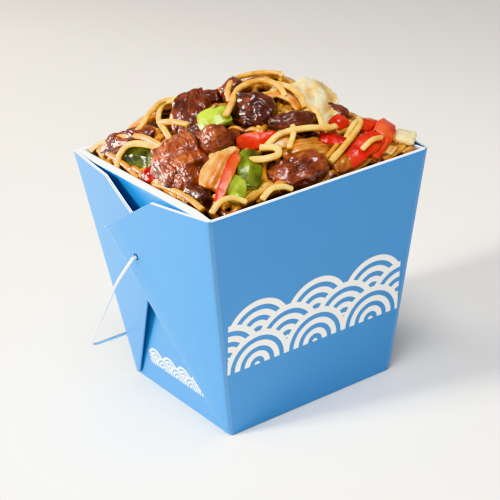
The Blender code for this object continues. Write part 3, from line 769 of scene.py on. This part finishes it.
def bail_path():
    """The wire's middle line: hooked feet, splayed legs and a crossbar."""
    along = np.array((0.0, math.cos(REST_ANGLE), math.sin(REST_ANGLE)))
    pivot = np.array((0.0, 0.0, PIVOT_Z))

    def leg(sign):
        right = np.array((sign, 0.0, 0.0))
        reach = [right * (PIVOT_X + swing) + along * length for length, swing in SPLAY]
        foot = [right * FOOT_X - along * FOOT_LENGTH, right * FOOT_X, right * PIVOT_X]
        return [pivot + point for point in foot + reach]

    points = leg(-1) + leg(1)[::-1]
    radii = BEND_RADII + BEND_RADII[::-1]
    path = [points[0]]
    for before, corner, after, radius in zip(points, points[1:], points[2:], radii):
        start = corner + (before - corner) / np.linalg.norm(before - corner) * radius
        end = corner + (after - corner) / np.linalg.norm(after - corner) * radius
        for share in np.linspace(0, 1, 9):
            path.append((1 - share) ** 2 * start + 2 * share * (1 - share) * corner
                        + share ** 2 * end)
    path.append(points[-1])
    return np.array(path)


# ------------------------------------------------------------------ toppings

PAINTED_TOP_LIGHT = 0.16             # painted light: a piece's top is this much paler and its underside darker, as light from above falls on it

# How pale each piece is, in the order of the nodes' numbers
TONES = {
    "beef": (0.38, 0.30, 0.30, 0.25, 0.40, 0.46, 0.44, 0.22, 0.24, 0.42, 0.12, 0.30, 0.3, 0.3),
    "green_pepper": (0.24, 0.78, 0.42, 0.72, 0.4),
    "red_pepper": (0.22, 0.60, 0.45, 0.50, 0.70, 0.25, 0.45, 0.55, 0.4),
    "onion": (0.50, 0.38, 0.55, 0.30, 0.95, 0.5),
}


def own_axes(points):
    """Centre and axes of a piece: along, across and through it, the last one upwards."""
    centre = points.mean(axis=0)
    _, axes = np.linalg.eigh(np.cov((points - centre).T))
    along, across, through = axes[:, 2], axes[:, 1], axes[:, 0]
    if through[2] < 0:
        through = -through
    if along[0] < 0:
        along = -along
    across = np.cross(through, along)
    return centre, np.stack((along, across, through))


def rounded_copy(node, voxel, rounds):
    """A finer copy of one of the model's solids, with its facets smoothed away."""
    obj = bpy.data.objects.new(node + "_food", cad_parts[node].data.copy())
    obj.data.materials.clear()
    bpy.context.scene.collection.objects.link(obj)
    remesh = obj.modifiers.new("fine", "REMESH")
    remesh.mode = "VOXEL"
    remesh.voxel_size = voxel * MM
    soften = obj.modifiers.new("soften", "SMOOTH")
    soften.factor = 0.5
    soften.iterations = rounds
    mesh = evaluated(obj)
    mesh.shade_smooth()
    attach(obj, BOX_BODY)
    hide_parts(node)
    return obj, mesh


def dressed(node, material, shape, voxel, rounds, seed, tone=0.5):
    """Replace a solid by its rounded copy, shaped in its own axes by shape(), which
    gives the outward move and the relief of each point."""
    obj, mesh = rounded_copy(node, voxel, rounds)
    points = points_of(mesh)
    normals = normals_of(mesh)
    centre, axes = own_axes(points)
    local = (points - centre) @ axes.T
    move, relief = shape(local, normals @ axes.T, seed)
    move_points(mesh, points + normals * move[:, None])
    store(mesh, "grain", local + seed * 31.0)
    # relief: high on raised places, low in hollows; the beef and the cabbage paint light and
    # shade from it
    store(mesh, "relief", 0.5 + 0.5 * relief)
    store(mesh, "skin", 0.5 + 0.5 * (normals @ axes[2]))
    # tone: the piece's own paleness, with painted light on its top and painted shade beneath
    store(mesh, "tone", tone + PAINTED_TOP_LIGHT * (normals[:, 2] - 0.5))
    mesh.materials.append(material)
    return obj


def meat_shape(local, normals, seed):
    """Lumps, torn edges and muscle fibres that run along the slice."""
    warp = local + 1.5 * np.stack([ripple(local, 5.0, seed + k) for k in (11, 13, 17)], 1)
    lumps = ripple(warp, (8.0, 6.0, 6.0), seed)
    bundles = np.minimum(1.0, 3 * np.abs(ripple(warp, (22.0, 4.0, 4.0), seed + 5)))
    fibres = np.minimum(1.0, 3 * np.abs(ripple(warp, (12.0, 1.5, 1.5), seed + 9)))
    fine = ripple(warp, (3.5, 0.8, 0.8), seed + 21)
    # relief, the second value, is what the beef's painted light on ridges and painted shade in
    # folds come from
    relief = 0.25 * lumps + 0.35 * bundles + 0.25 * fibres + 0.2 * fine - 0.3
    return 0.8 * lumps + 0.45 * bundles + 0.16 * fibres + 0.08 * fine - 0.2, relief


def pepper_shape(local, normals, seed):
    """A strip's slow swell and the slight pucker of its skin."""
    swell = ripple(local, 4.5, seed)
    pucker = ripple(local, (3.0, 1.6, 1.6), seed + 3)
    return 0.12 + 0.28 * swell + 0.035 * pucker, swell


def petal_shape(local, normals, seed):
    """Uneven ribs along the petal, and its slow folds."""
    sway = ripple(local, (14.0, 3.5, 3.5), seed) * 1.2
    ribs = np.sin((local[:, 1] + sway) * 2 * math.pi / 2.1)
    folds = 1 - 2 * np.abs(ripple(local, (14.0, 4.0, 4.0), seed + 4))
    return 0.05 + 0.05 * ribs + 0.2 * folds, ribs


def leaf_shape(local, normals, seed):
    """Veins that fan out from the leaf's foot, and puckers between them."""
    foot = local + np.array([16.0, 0.0, 0.0])
    fan = np.arctan2(foot[:, 1], foot[:, 0]) + ripple(local, 12.0, seed) * 0.05
    veins = np.maximum(0.0, np.cos(fan * 11)) ** 6
    pucker = ripple(local, 3.5, seed + 2)
    lift = 0.9 * ripple(local, (14.0, 4.0, 8.0), seed + 6)
    side = np.sign(normals[:, 2])
    # the relief: veins and raised places high, hollows low; the cabbage paints its hollows darker
    # from it as painted shade
    return 0.2 * veins + side * (lift + 0.25 * pucker), 0.6 * veins + 0.5 * side * lift


# ------------------------------------------------------------------ noodles

def through(points, spacing):
    """Points along a smooth curve through the given ones, evenly spaced."""
    given = np.asarray(points, dtype=float)
    ends = np.vstack((2 * given[0] - given[1], given, 2 * given[-1] - given[-2]))
    fine = []
    for a, b, c, d in zip(ends, ends[1:], ends[2:], ends[3:]):
        for t in np.linspace(0, 1, 16, endpoint=False):
            fine.append(0.5 * (2 * b + (c - a) * t + (2 * a - 5 * b + 4 * c - d) * t * t
                               + (3 * b - a - 3 * c + d) * t ** 3))
    fine.append(given[-1])
    fine = np.array(fine)
    steps = np.linalg.norm(np.diff(fine, axis=0), axis=1)
    lengths = np.concatenate(([0.0], np.cumsum(steps)))
    count = max(4, int(lengths[-1] / spacing))
    wanted = np.linspace(0, lengths[-1], count + 1)
    return np.stack([np.interp(wanted, lengths, fine[:, k]) for k in range(3)], axis=1)


class Strands:
    """Gathers noodles into one mesh: tubes with flat, slightly rounded ends."""

    SIDES = 10
    END = ((0.0, 0.72), (0.12, 0.93), (0.35, 1.0))     # share of radius in, and wide

    def __init__(self, shade=lambda place: 0.0):
        self.points = []
        self.faces = []
        self.local = []
        self.tones = []
        self.shade = shade            # painted shade: how much darker a noodle is at a place

    def lay(self, path, radius, tone, flat=1.0, seed=0.0, swell=0.07):
        """Add a noodle along a path; flat below 1 makes it wider than it is thick."""
        path = np.asarray(path)
        tangents = np.gradient(path, axis=0)
        tangents /= np.linalg.norm(tangents, axis=1)[:, None]
        side = np.cross(tangents[0], (0.0, 0.0, 1.0))
        if np.linalg.norm(side) < 0.2:
            side = np.cross(tangents[0], (0.0, 1.0, 0.0))
        rings = []
        for place, tangent in zip(path, tangents):
            side = side - tangent * side.dot(tangent)
            side /= np.linalg.norm(side)
            rings.append((place, tangent, side, np.cross(tangent, side)))
        first, last = rings[0], rings[-1]
        sizes = [radius * (1 + swell * noise.noise(Vector(place / 4.0 + seed)))
                 for place, *_ in rings]
        lead = [((first[0] - first[1] * radius * (self.END[2][0] - ahead), *first[1:]),
                 radius * wide) for ahead, wide in self.END[:2]]
        tail = [((last[0] + last[1] * radius * (self.END[2][0] - ahead), *last[1:]),
                 radius * wide) for ahead, wide in self.END[:2]]
        rows = lead + list(zip(rings, sizes)) + tail[::-1]
        start = len(self.points)
        turned = np.linspace(0, 2 * math.pi, self.SIDES, endpoint=False)
        run = 0.0
        before = rows[0][0][0]
        for (place, tangent, side, up), size in rows:
            run += float(np.linalg.norm(place - before))
            before = place
            for angle in turned:
                x = math.cos(angle)
                y = math.sin(angle)
                out = side * x / flat + up * y * flat
                self.points.append(place + out * size)
                self.local.append((run + seed * 17, size * x, size * y))
                # tone: the noodle's own paleness, less painted shade deep in the heap, with
                # painted light on its top
                self.tones.append(tone - self.shade(place) + PAINTED_TOP_LIGHT * out[2])
        sides = self.SIDES
        for row in range(len(rows) - 1):
            low = start + row * sides
            for k in range(sides):
                n = (k + 1) % sides
                self.faces.append((low + k, low + n, low + sides + n, low + sides + k))
        self.faces.append(tuple(start + k for k in reversed(range(sides))))
        top = start + (len(rows) - 1) * sides
        self.faces.append(tuple(top + k for k in range(sides)))

    def build(self, name, material, body=BOX_BODY):
        obj = mesh_object(name, self.points, self.faces, [material], body)
        store(obj.data, "grain", self.local)
        store(obj.data, "tone", self.tones)
        return obj


class Heap:
    """Height of what lies in the box, kept on a fine grid that strands are laid on."""

    CELL = 0.5
    DEPTH = 3.2                 # the core lies this far below the solid heap

    def __init__(self):
        low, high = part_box("noodle_heap")
        self.low = np.array(low[:2]) / MM
        self.high = np.array(high[:2]) / MM
        self.shape = np.ceil((self.high - self.low) / self.CELL).astype(int) + 1
        tree = solid_tree(["noodle_heap"])
        self.limit = np.empty(self.shape)
        above = high[2] / MM + 10
        for i in range(self.shape[0]):
            for j in range(self.shape[1]):
                x, y = self.low + self.CELL * np.array((i, j))
                x = min(max(x, self.low[0] + 0.6), self.high[0] - 0.6)
                y = min(max(y, self.low[1] + 0.6), self.high[1] - 0.6)
                hit = tree.ray_cast(Vector((x, y, above)), Vector((0, 0, -1)))[0]
                self.limit[i, j] = hit.z if hit else 90.0
        self.top = self.limit - self.DEPTH

    def cell(self, x, y):
        i = int(round((x - self.low[0]) / self.CELL))
        j = int(round((y - self.low[1]) / self.CELL))
        return (min(max(i, 0), self.shape[0] - 1), min(max(j, 0), self.shape[1] - 1))

    def rest(self, path, radius):
        """Height at which a noodle comes to rest along a flat path."""
        raw = []
        for x, y in path:
            i, j = self.cell(x, y)
            near = self.top[max(i - 1, 0):i + 2, max(j - 1, 0):j + 2]
            cap = self.limit[i, j] - 0.2 * radius
            raw.append(min(near.max() + 0.85 * radius, cap))
        raw = np.array(raw)
        for _ in range(3):
            padded = np.concatenate((raw[:1], raw, raw[-1:]))
            smooth = (padded[:-2] + 2 * padded[1:-1] + padded[2:]) / 4
            raw = 0.6 * smooth + 0.4 * np.maximum(raw, smooth)
        return raw

    def shade(self, place):
        """Painted shade: how much darker a noodle is the deeper it lies below the heap's top."""
        depth = self.limit[self.cell(place[0], place[1])] - place[2]
        return min(0.36, 0.14 * max(0.0, depth))

    def press(self, path, radius):
        """Raise the heap where a noodle now lies."""
        reach = int(radius / self.CELL)
        for x, y, z in path:
            i, j = self.cell(x, y)
            for a in range(-reach, reach + 1):
                for b in range(-reach, reach + 1):
                    m, n = i + a, j + b
                    if not (0 <= m < self.shape[0] and 0 <= n < self.shape[1]):
                        continue
                    off = radius ** 2 - (a * a + b * b) * self.CELL ** 2
                    if off > 0:
                        self.top[m, n] = max(self.top[m, n], z + math.sqrt(off))


def wander(rng, low, high, length, step):
    """A noodle's lazy path on the heap, turned back before it meets a wall."""
    x = rng.uniform(low[0], high[0])
    y = rng.uniform(low[1], high[1])
    heading = rng.uniform(0, 2 * math.pi)
    turn = rng.uniform(-0.09, 0.09)
    path = []
    for k in range(int(length / step)):
        path.append((x, y))
        turn = 0.96 * turn + rng.gauss(0, 0.012)
        nearest = min(x - low[0], high[0] - x, y - low[1], high[1] - y)
        if nearest < 7:
            middle = math.atan2((low[1] + high[1]) / 2 - y, (low[0] + high[0]) / 2 - x)
            off = (middle - heading + math.pi) % (2 * math.pi) - math.pi
            heading += 0.22 * off * (1 - nearest / 7)
        heading += turn * step
        x = min(max(x + math.cos(heading) * step, low[0]), high[0])
        y = min(max(y + math.sin(heading) * step, low[1]), high[1])
    return np.array(path)


def beside_wall(rng, low, high, length, step):
    """A noodle's path along one wall, drifting in and out."""
    wall = rng.randrange(4)
    across = wall % 2
    along = 1 - across
    run = np.arange(0, length, step)
    start = rng.uniform(low[along], high[along] - length)
    off = rng.uniform(0.0, 3.0) + 1.2 * (1 + np.sin(run / rng.uniform(6, 11)))
    path = np.empty((len(run), 2))
    path[:, along] = start + run
    path[:, across] = low[across] + off if wall < 2 else high[across] - off
    return path


# Noodles that lie over the toppings: tone, thickness share, then the points they pass
LAID = (
    (0.68, 1.0, (-44, 35, 104), (-40, 31, 107), (-37, 18, 110), (-37, 3, 110), (-36, -4, 107)),
    (0.85, 1.1, (-47, 22, 99), (-45, 22, 104), (-41, 20, 107.5), (-38, 10, 109), (-36, 0, 108)),
    (0.72, 1.0, (-38, 26, 108), (-34, 23, 112), (-27, 26, 116), (-20, 27, 118), (-15, 22, 119)),
    (0.78, 1.0, (-15, 18, 120), (-20, 27, 117), (-27, 21, 114), (-31, 10, 113), (-32, 5, 111)),
    (0.70, 1.1, (-29, 17, 114), (-28, 10, 116), (-25, 3, 116)),
    (0.60, 1.0, (-6, 2, 121), (-4, 5, 124.5), (5, 12, 125), (16, 10, 125), (22, 6, 124)),
    (0.62, 1.1, (-13, -6, 119), (-9, -4, 122), (-1, 2, 124.7), (9, 2, 125.4), (13, -4, 124.2),
     (13, -9, 121)),
    (0.80, 0.8, (20, 4, 120), (20, 2, 124), (19, 1, 125.6)),
    (0.68, 1.0, (14, -2, 124), (16, -8, 123.5), (16, -15, 121.5), (14, -20, 119)),
    (0.78, 1.1, (-12, -28, 111), (-4, -28, 115), (6, -31, 115.5), (14, -33, 114), (19, -32, 113)),
    (0.85, 0.9, (3, -27, 116), (0, -31, 114.5), (-5, -35, 112)),
    (0.70, 1.1, (34, -28, 111), (30, -33, 110.5), (19, -39, 108), (8, -43, 105)),
    (0.35, 0.9, (33, -24, 109), (27, -32, 109), (16, -37, 107.5), (6, -41, 105)),
    (0.92, 1.2, (-20, -31, 110), (-16, -35, 110.5), (-11, -36, 111), (-9, -32, 112),
     (-13, -28, 112)),
    (0.85, 1.0, (-47, -44, 101.2), (-43, -43, 103.4), (-38, -43, 103.8), (-33, -45, 101.5)),
    (0.90, 1.0, (-26, -46, 101), (-21, -45, 103), (-16, -45.3, 102.5), (-13, -46, 101)),
    (0.80, 0.9, (17, -21, 118), (16, -26, 116.5), (14, -31, 114)),
    (0.25, 1.1, (-27, 34, 108), (-21, 33, 112), (-15, 31, 115), (-8, 29, 117)),
    (0.40, 1.0, (-46, 8, 98.5), (-45.5, 18, 100.5), (-45, 28, 101), (-44, 38, 100.3)),
    (0.55, 1.0, (-46, -36, 99.5), (-45.5, -26, 100.8), (-45.5, -14, 100.6), (-46, -4, 99.3)),
    (0.35, 1.0, (-30, 45, 99.5), (-38, 44, 101), (-43, 41, 101.2), (-45, 34, 99.8)),
    (0.45, 1.0, (46, -34, 99.5), (45.5, -40, 101), (41, -44.6, 101), (32, -45.2, 99.6)),
    (0.80, 0.9, (21, -36, 109), (25, -34, 111), (30, -31, 111.5), (35, -28, 110)),
    (0.75, 0.9, (23, -43.5, 106), (28, -43, 108), (33, -42.3, 107.5)),
)

# Shreds of onion and leaf: tone, thickness share, flatness, then the points they pass
SHREDS = (
    (0.80, 1.5, 0.6, (-45, 44.5, 99.4), (-43, 43, 101.3), (-39.5, 41, 102.2)),
    (0.62, 1.3, 0.6, (-42, 45, 99.6), (-39, 44, 101.2), (-35, 42.5, 102.0)),
    (0.45, 1.2, 0.7, (-18.5, -44, 101.8), (-16, -43, 103.0), (-13.5, -42, 102.4)),
    (0.60, 1.8, 0.55, (12, 2, 119), (15, -1, 121.5), (19, -6, 120.5), (20, -12, 117.5)),
    (0.50, 1.6, 0.55, (8, -2, 119), (12, -5, 121), (15, -11, 119.5), (15, -16, 117)),
    (0.50, 1.2, 0.7, (45.6, -40, 99.2), (45, -44.2, 100.2), (41, -44.8, 99.8)),
    (0.40, 1.3, 0.7, (43, -34, 102.5), (42, -38, 104.2), (42, -42, 103)),
    (0.55, 1.2, 0.7, (39, -42, 101), (37, -44, 102.4), (34, -45, 101.5)),
)


# ------------------------------------------------------------------ operators


class NOODLEBOX_OT_carton(bpy.types.Operator):
    """Give the folded board its print and its bleached inside"""
    bl_idname = "noodlebox.carton"
    bl_label = "Carton"

    def execute(self, context):
        settings = context.scene.noodlebox_carton
        stock = (settings.board, paperboard_printed(settings),
                 paperboard_white(settings))
        sheets = [pail_sheet().build("pail", *stock)]
        for side_x in (-1, 1):
            punch = drill(side_x)
            for side_y in (-1, 1):
                side = ("left", "right")[side_x > 0] + ("_front", "_back")[side_y > 0]
                web = web_sheet(side_x, side_y).build("web_" + side, *stock)
                hole = web.modifiers.new("hole", "BOOLEAN")
                hole.object = punch
                hole.operation = "DIFFERENCE"
                sheets.append(web)
            for web in sheets[-2:]:
                evaluated(web)
            bpy.data.objects.remove(punch)
        evaluated(sheets[0])
        for sheet in sheets:
            sheet.data.shade_smooth()
            sheet.data.set_sharp_from_angle(angle=math.radians(38))
            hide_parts("carton")
        return {"FINISHED"}


class NOODLEBOX_OT_bail(bpy.types.Operator):
    """Give the bail its plated finish"""
    bl_idname = "noodlebox.bail"
    bl_label = "Bail"

    def execute(self, context):
        wire = Strands()
        wire.SIDES = 16
        wire.lay(bail_path(), WIRE / 2, 1.0, swell=0.0)
        bail = wire.build("wire_bail", zinc_wire(), BAIL_BODY)
        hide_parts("bail")
        return {"FINISHED"}


class NOODLEBOX_OT_noodles(bpy.types.Operator):
    """Lay the noodles over a smaller core"""
    bl_idname = "noodlebox.noodles"
    bl_label = "Noodles"

    def execute(self, context):
        settings = context.scene.noodlebox_food
        heap = Heap()
        core_points = []
        rows, columns = heap.shape
        step = 3
        ij = [(i, j) for i in range(0, rows, step) for j in range(0, columns, step)]
        wide = len(range(0, columns, step))
        for i, j in ij:
            x, y = heap.low + heap.CELL * np.array((i, j))
            core_points.append((x, y, heap.top[i, j]))
        faces = []
        tall = len(range(0, rows, step))
        for a in range(tall - 1):
            for b in range(wide - 1):
                k = a * wide + b
                faces.append((k, k + wide, k + wide + 1, k + 1))
        rim = [a * wide for a in range(tall)]
        rim += [(tall - 1) * wide + b for b in range(1, wide)]
        rim += [a * wide + wide - 1 for a in range(tall - 2, -1, -1)]
        rim += list(range(wide - 2, 0, -1))
        foot = len(core_points)
        half_x, half_y = half_sizes(0.0)
        for k in rim:
            x, y, _ = core_points[k]
            core_points.append((x / heap.high[0] * (half_x - 2), y / heap.high[1] * (half_y - 2),
                                2.0))
        for k in range(len(rim)):
            n = (k + 1) % len(rim)
            faces.append((rim[n], rim[k], foot + k, foot + n))
        faces.append([foot + k for k in range(len(rim))])
        core = mesh_object("sauce_and_shade_core", core_points, faces, [sauce_and_painted_shade_core()])

        dough = wheat_noodle()
        rng = random.Random(settings.seed)
        radius = settings.noodle / MM / 2
        strands = Strands(heap.shade)
        low = heap.low + radius + 0.3
        high = heap.high - radius - 0.3
        for k in range(settings.strands):
            route = beside_wall if k % 4 == 0 else wander
            flat = route(rng, low, high, rng.uniform(28, 70), 1.0)
            size = radius * rng.uniform(0.88, 1.12)
            heights = heap.rest(flat, size)
            path = np.column_stack((flat, heights))
            heap.press(path, size)
            # these noodles get darker tones than those laid on top: painted shade of the lower
            # heap, with tone that differs at random
            strands.lay(path, size, rng.uniform(0.2, 0.65), rng.uniform(0.9, 1.0), k * 1.7)
        lower = strands.build("noodles_in_heap", dough)
        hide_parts("noodle_heap")

        upper = Strands()
        for k, (tone, size, *points) in enumerate(LAID):
            upper.lay(through(points, 0.8), radius * size, tone, 0.95, 3.1 * k)
        upper.build("noodles_on_top", dough)
        return {"FINISHED"}


class NOODLEBOX_OT_shreds(bpy.types.Operator):
    """Tuck shreds of onion between the pieces"""
    bl_idname = "noodlebox.shreds"
    bl_label = "Shreds"

    def execute(self, context):
        radius = context.scene.noodlebox_food.noodle / MM / 2
        shreds = Strands()
        for k, (tone, size, flat, *points) in enumerate(SHREDS):
            shreds.lay(through(points, 0.5), radius * size, tone, flat, 5.3 * k, 0.25)
        shreds.build("onion_shreds", cooked_onion())
        return {"FINISHED"}


class NOODLEBOX_OT_beef(bpy.types.Operator):
    """Round, wrinkle and glaze the beef"""
    bl_idname = "noodlebox.beef"
    bl_label = "Beef"

    def execute(self, context):
        material = braised_beef()
        for k, node in enumerate(numbered("beef")):
            obj = dressed(node, material, meat_shape, 0.4, 10, 2.3 * k, TONES["beef"][k])
        return {"FINISHED"}


class NOODLEBOX_OT_peppers(bpy.types.Operator):
    """Round the pepper strips and colour their skin and flesh"""
    bl_idname = "noodlebox.peppers"
    bl_label = "Peppers"

    def execute(self, context):
        green = bell_pepper("green_bell_pepper", (
            (0.1, "#20220C"), (0.35, "#4A4E18"), (0.6, "#788226"), (0.9, "#A6B346")),
                            "#B2BA62", "#DCDDA6")
        red = bell_pepper("red_bell_pepper", (
            (0.1, "#7A0F0A"), (0.4, "#B81E14"), (0.65, "#D43A20"), (0.9, "#E46438")),
                          "#E2682E", "#F2A86E")
        for kind, material in (("green_pepper", green), ("red_pepper", red)):
            for k, node in enumerate(numbered(kind)):
                obj = dressed(node, material, pepper_shape, 0.45, 9, 1.9 * k, TONES[kind][k])
        return {"FINISHED"}


class NOODLEBOX_OT_onion(bpy.types.Operator):
    """Round the onion petals and rib them"""
    bl_idname = "noodlebox.onion"
    bl_label = "Onion"

    def execute(self, context):
        material = cooked_onion()
        for k, node in enumerate(numbered("onion")):
            obj = dressed(node, material, petal_shape, 0.4, 26, 1.3 * k, TONES["onion"][k])
        return {"FINISHED"}


class NOODLEBOX_OT_cabbage(bpy.types.Operator):
    """Vein and crumple the cabbage leaf"""
    bl_idname = "noodlebox.cabbage"
    bl_label = "Cabbage"

    def execute(self, context):
        obj = dressed("cabbage_leaf", cooked_cabbage(), leaf_shape, 0.35, 5, 4.0)
        return {"FINISHED"}


class NOODLEBOX_OT_stage(bpy.types.Operator):
    """Set the floor, the soft lights and the camera"""
    bl_idname = "noodlebox.stage"
    bl_label = "Stage"

    LENS_ANGLE = math.radians(17.12)
    DISTANCE = 674.6
    ROLL = math.radians(-3.88)
    AIM = (-2.26, 5.28)               # right of and above the middle of the box
    MIDDLE = 50.0

    def light(self, name, place, power, size, colour):
        data = bpy.data.lights.new(name, "AREA")
        data.energy = power
        data.size = size * MM
        data.color = linear(colour)
        obj = bpy.data.objects.new(name, data)
        bpy.context.scene.collection.objects.link(obj)
        place = Vector(place)
        obj.location = place * MM
        aim = Vector((0, 0, 60)) - place
        obj.rotation_euler = aim.to_track_quat("-Z", "Y").to_euler()

    def execute(self, context):
        settings = context.scene.noodlebox_stage
        bm = bmesh.new()
        bmesh.ops.create_grid(bm, x_segments=2, y_segments=2, size=3.0)
        mesh = bpy.data.meshes.new("floor")
        bm.to_mesh(mesh)
        bm.free()
        floor = bpy.data.objects.new("floor", mesh)
        floor.location.z = -0.0002
        bpy.context.scene.collection.objects.link(floor)
        mesh.materials.append(painted_floor(settings))

        self.light("key", (-700, 150, 450), settings.key_power * 1.65, 200, "#FFFCF2")
        self.light("back", (-440, 740, 130), settings.key_power * 1.7, 300, "#FFFCF4")
        self.light("top", (-100, -260, 760), settings.key_power * 0.8, 300, "#FBFCFF")
        self.light("fill", (120, -800, 60), settings.key_power * 0.36, 500, "#E8F1FF")
        world = bpy.data.worlds.new("studio")
        context.scene.world = world
        world.use_nodes = True
        world.node_tree.nodes["Background"].inputs["Color"].default_value = (
            *linear("#F6F3EF"), 1.0)
        world.node_tree.nodes["Background"].inputs["Strength"].default_value = 0.38
        context.scene.view_settings.view_transform = "Khronos PBR Neutral"

        data = bpy.data.cameras.new("camera")
        data.sensor_width = 36
        data.angle = self.LENS_ANGLE
        data.clip_start = 0.01
        camera = bpy.data.objects.new("camera", data)
        bpy.context.scene.collection.objects.link(camera)
        back = Vector((math.sin(settings.azimuth) * math.cos(settings.elevation),
                       -math.cos(settings.azimuth) * math.cos(settings.elevation),
                       math.sin(settings.elevation)))
        right = Vector((math.cos(settings.azimuth), math.sin(settings.azimuth), 0))
        up = back.cross(right)
        level = Matrix((right, up, back)).transposed()
        turned = level @ Matrix.Rotation(self.ROLL, 3, "Z")
        aim = Vector((0, 0, self.MIDDLE))
        aim += turned @ Vector((*self.AIM, self.DISTANCE))
        camera.matrix_world = Matrix.Translation(aim * MM) @ turned.to_4x4()
        context.scene.camera = camera
        return {"FINISHED"}


class NOODLEBOX_PT_panel(bpy.types.Panel):
    """The box's settings and the pieces it is made of"""
    bl_idname = "NOODLEBOX_PT_panel"
    bl_label = "Noodle box"
    bl_space_type = "VIEW_3D"
    bl_region_type = "UI"
    bl_category = "Noodle box"

    def draw(self, context):
        scene = context.scene
        for settings in (scene.noodlebox_carton, scene.noodlebox_food, scene.noodlebox_stage):
            group = self.layout.box()
            for name in settings.__annotations__:
                group.prop(settings, name)
        for operator in OPERATORS:
            self.layout.operator(operator.bl_idname)


OPERATORS = (
    NOODLEBOX_OT_carton, NOODLEBOX_OT_bail, NOODLEBOX_OT_beef, NOODLEBOX_OT_peppers,
    NOODLEBOX_OT_onion, NOODLEBOX_OT_cabbage, NOODLEBOX_OT_noodles, NOODLEBOX_OT_shreds,
    NOODLEBOX_OT_stage)
CLASSES = (CartonSettings, FoodSettings, StageSettings, *OPERATORS, NOODLEBOX_PT_panel)


def register():
    for cls in CLASSES:
        bpy.utils.register_class(cls)
    bpy.types.Scene.noodlebox_carton = PointerProperty(type=CartonSettings)
    bpy.types.Scene.noodlebox_food = PointerProperty(type=FoodSettings)
    bpy.types.Scene.noodlebox_stage = PointerProperty(type=StageSettings)


def unregister():
    del bpy.types.Scene.noodlebox_stage
    del bpy.types.Scene.noodlebox_food
    del bpy.types.Scene.noodlebox_carton
    for cls in reversed(CLASSES):
        bpy.utils.unregister_class(cls)


def main():
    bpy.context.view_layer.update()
    register()
    bpy.ops.noodlebox.carton()
    bpy.ops.noodlebox.bail()
    bpy.ops.noodlebox.beef()
    bpy.ops.noodlebox.peppers()
    bpy.ops.noodlebox.onion()
    bpy.ops.noodlebox.cabbage()
    bpy.ops.noodlebox.noodles()
    bpy.ops.noodlebox.shreds()
    bpy.ops.noodlebox.stage()
    bpy.context.view_layer.update()


if __name__ == "__main__":
    main()
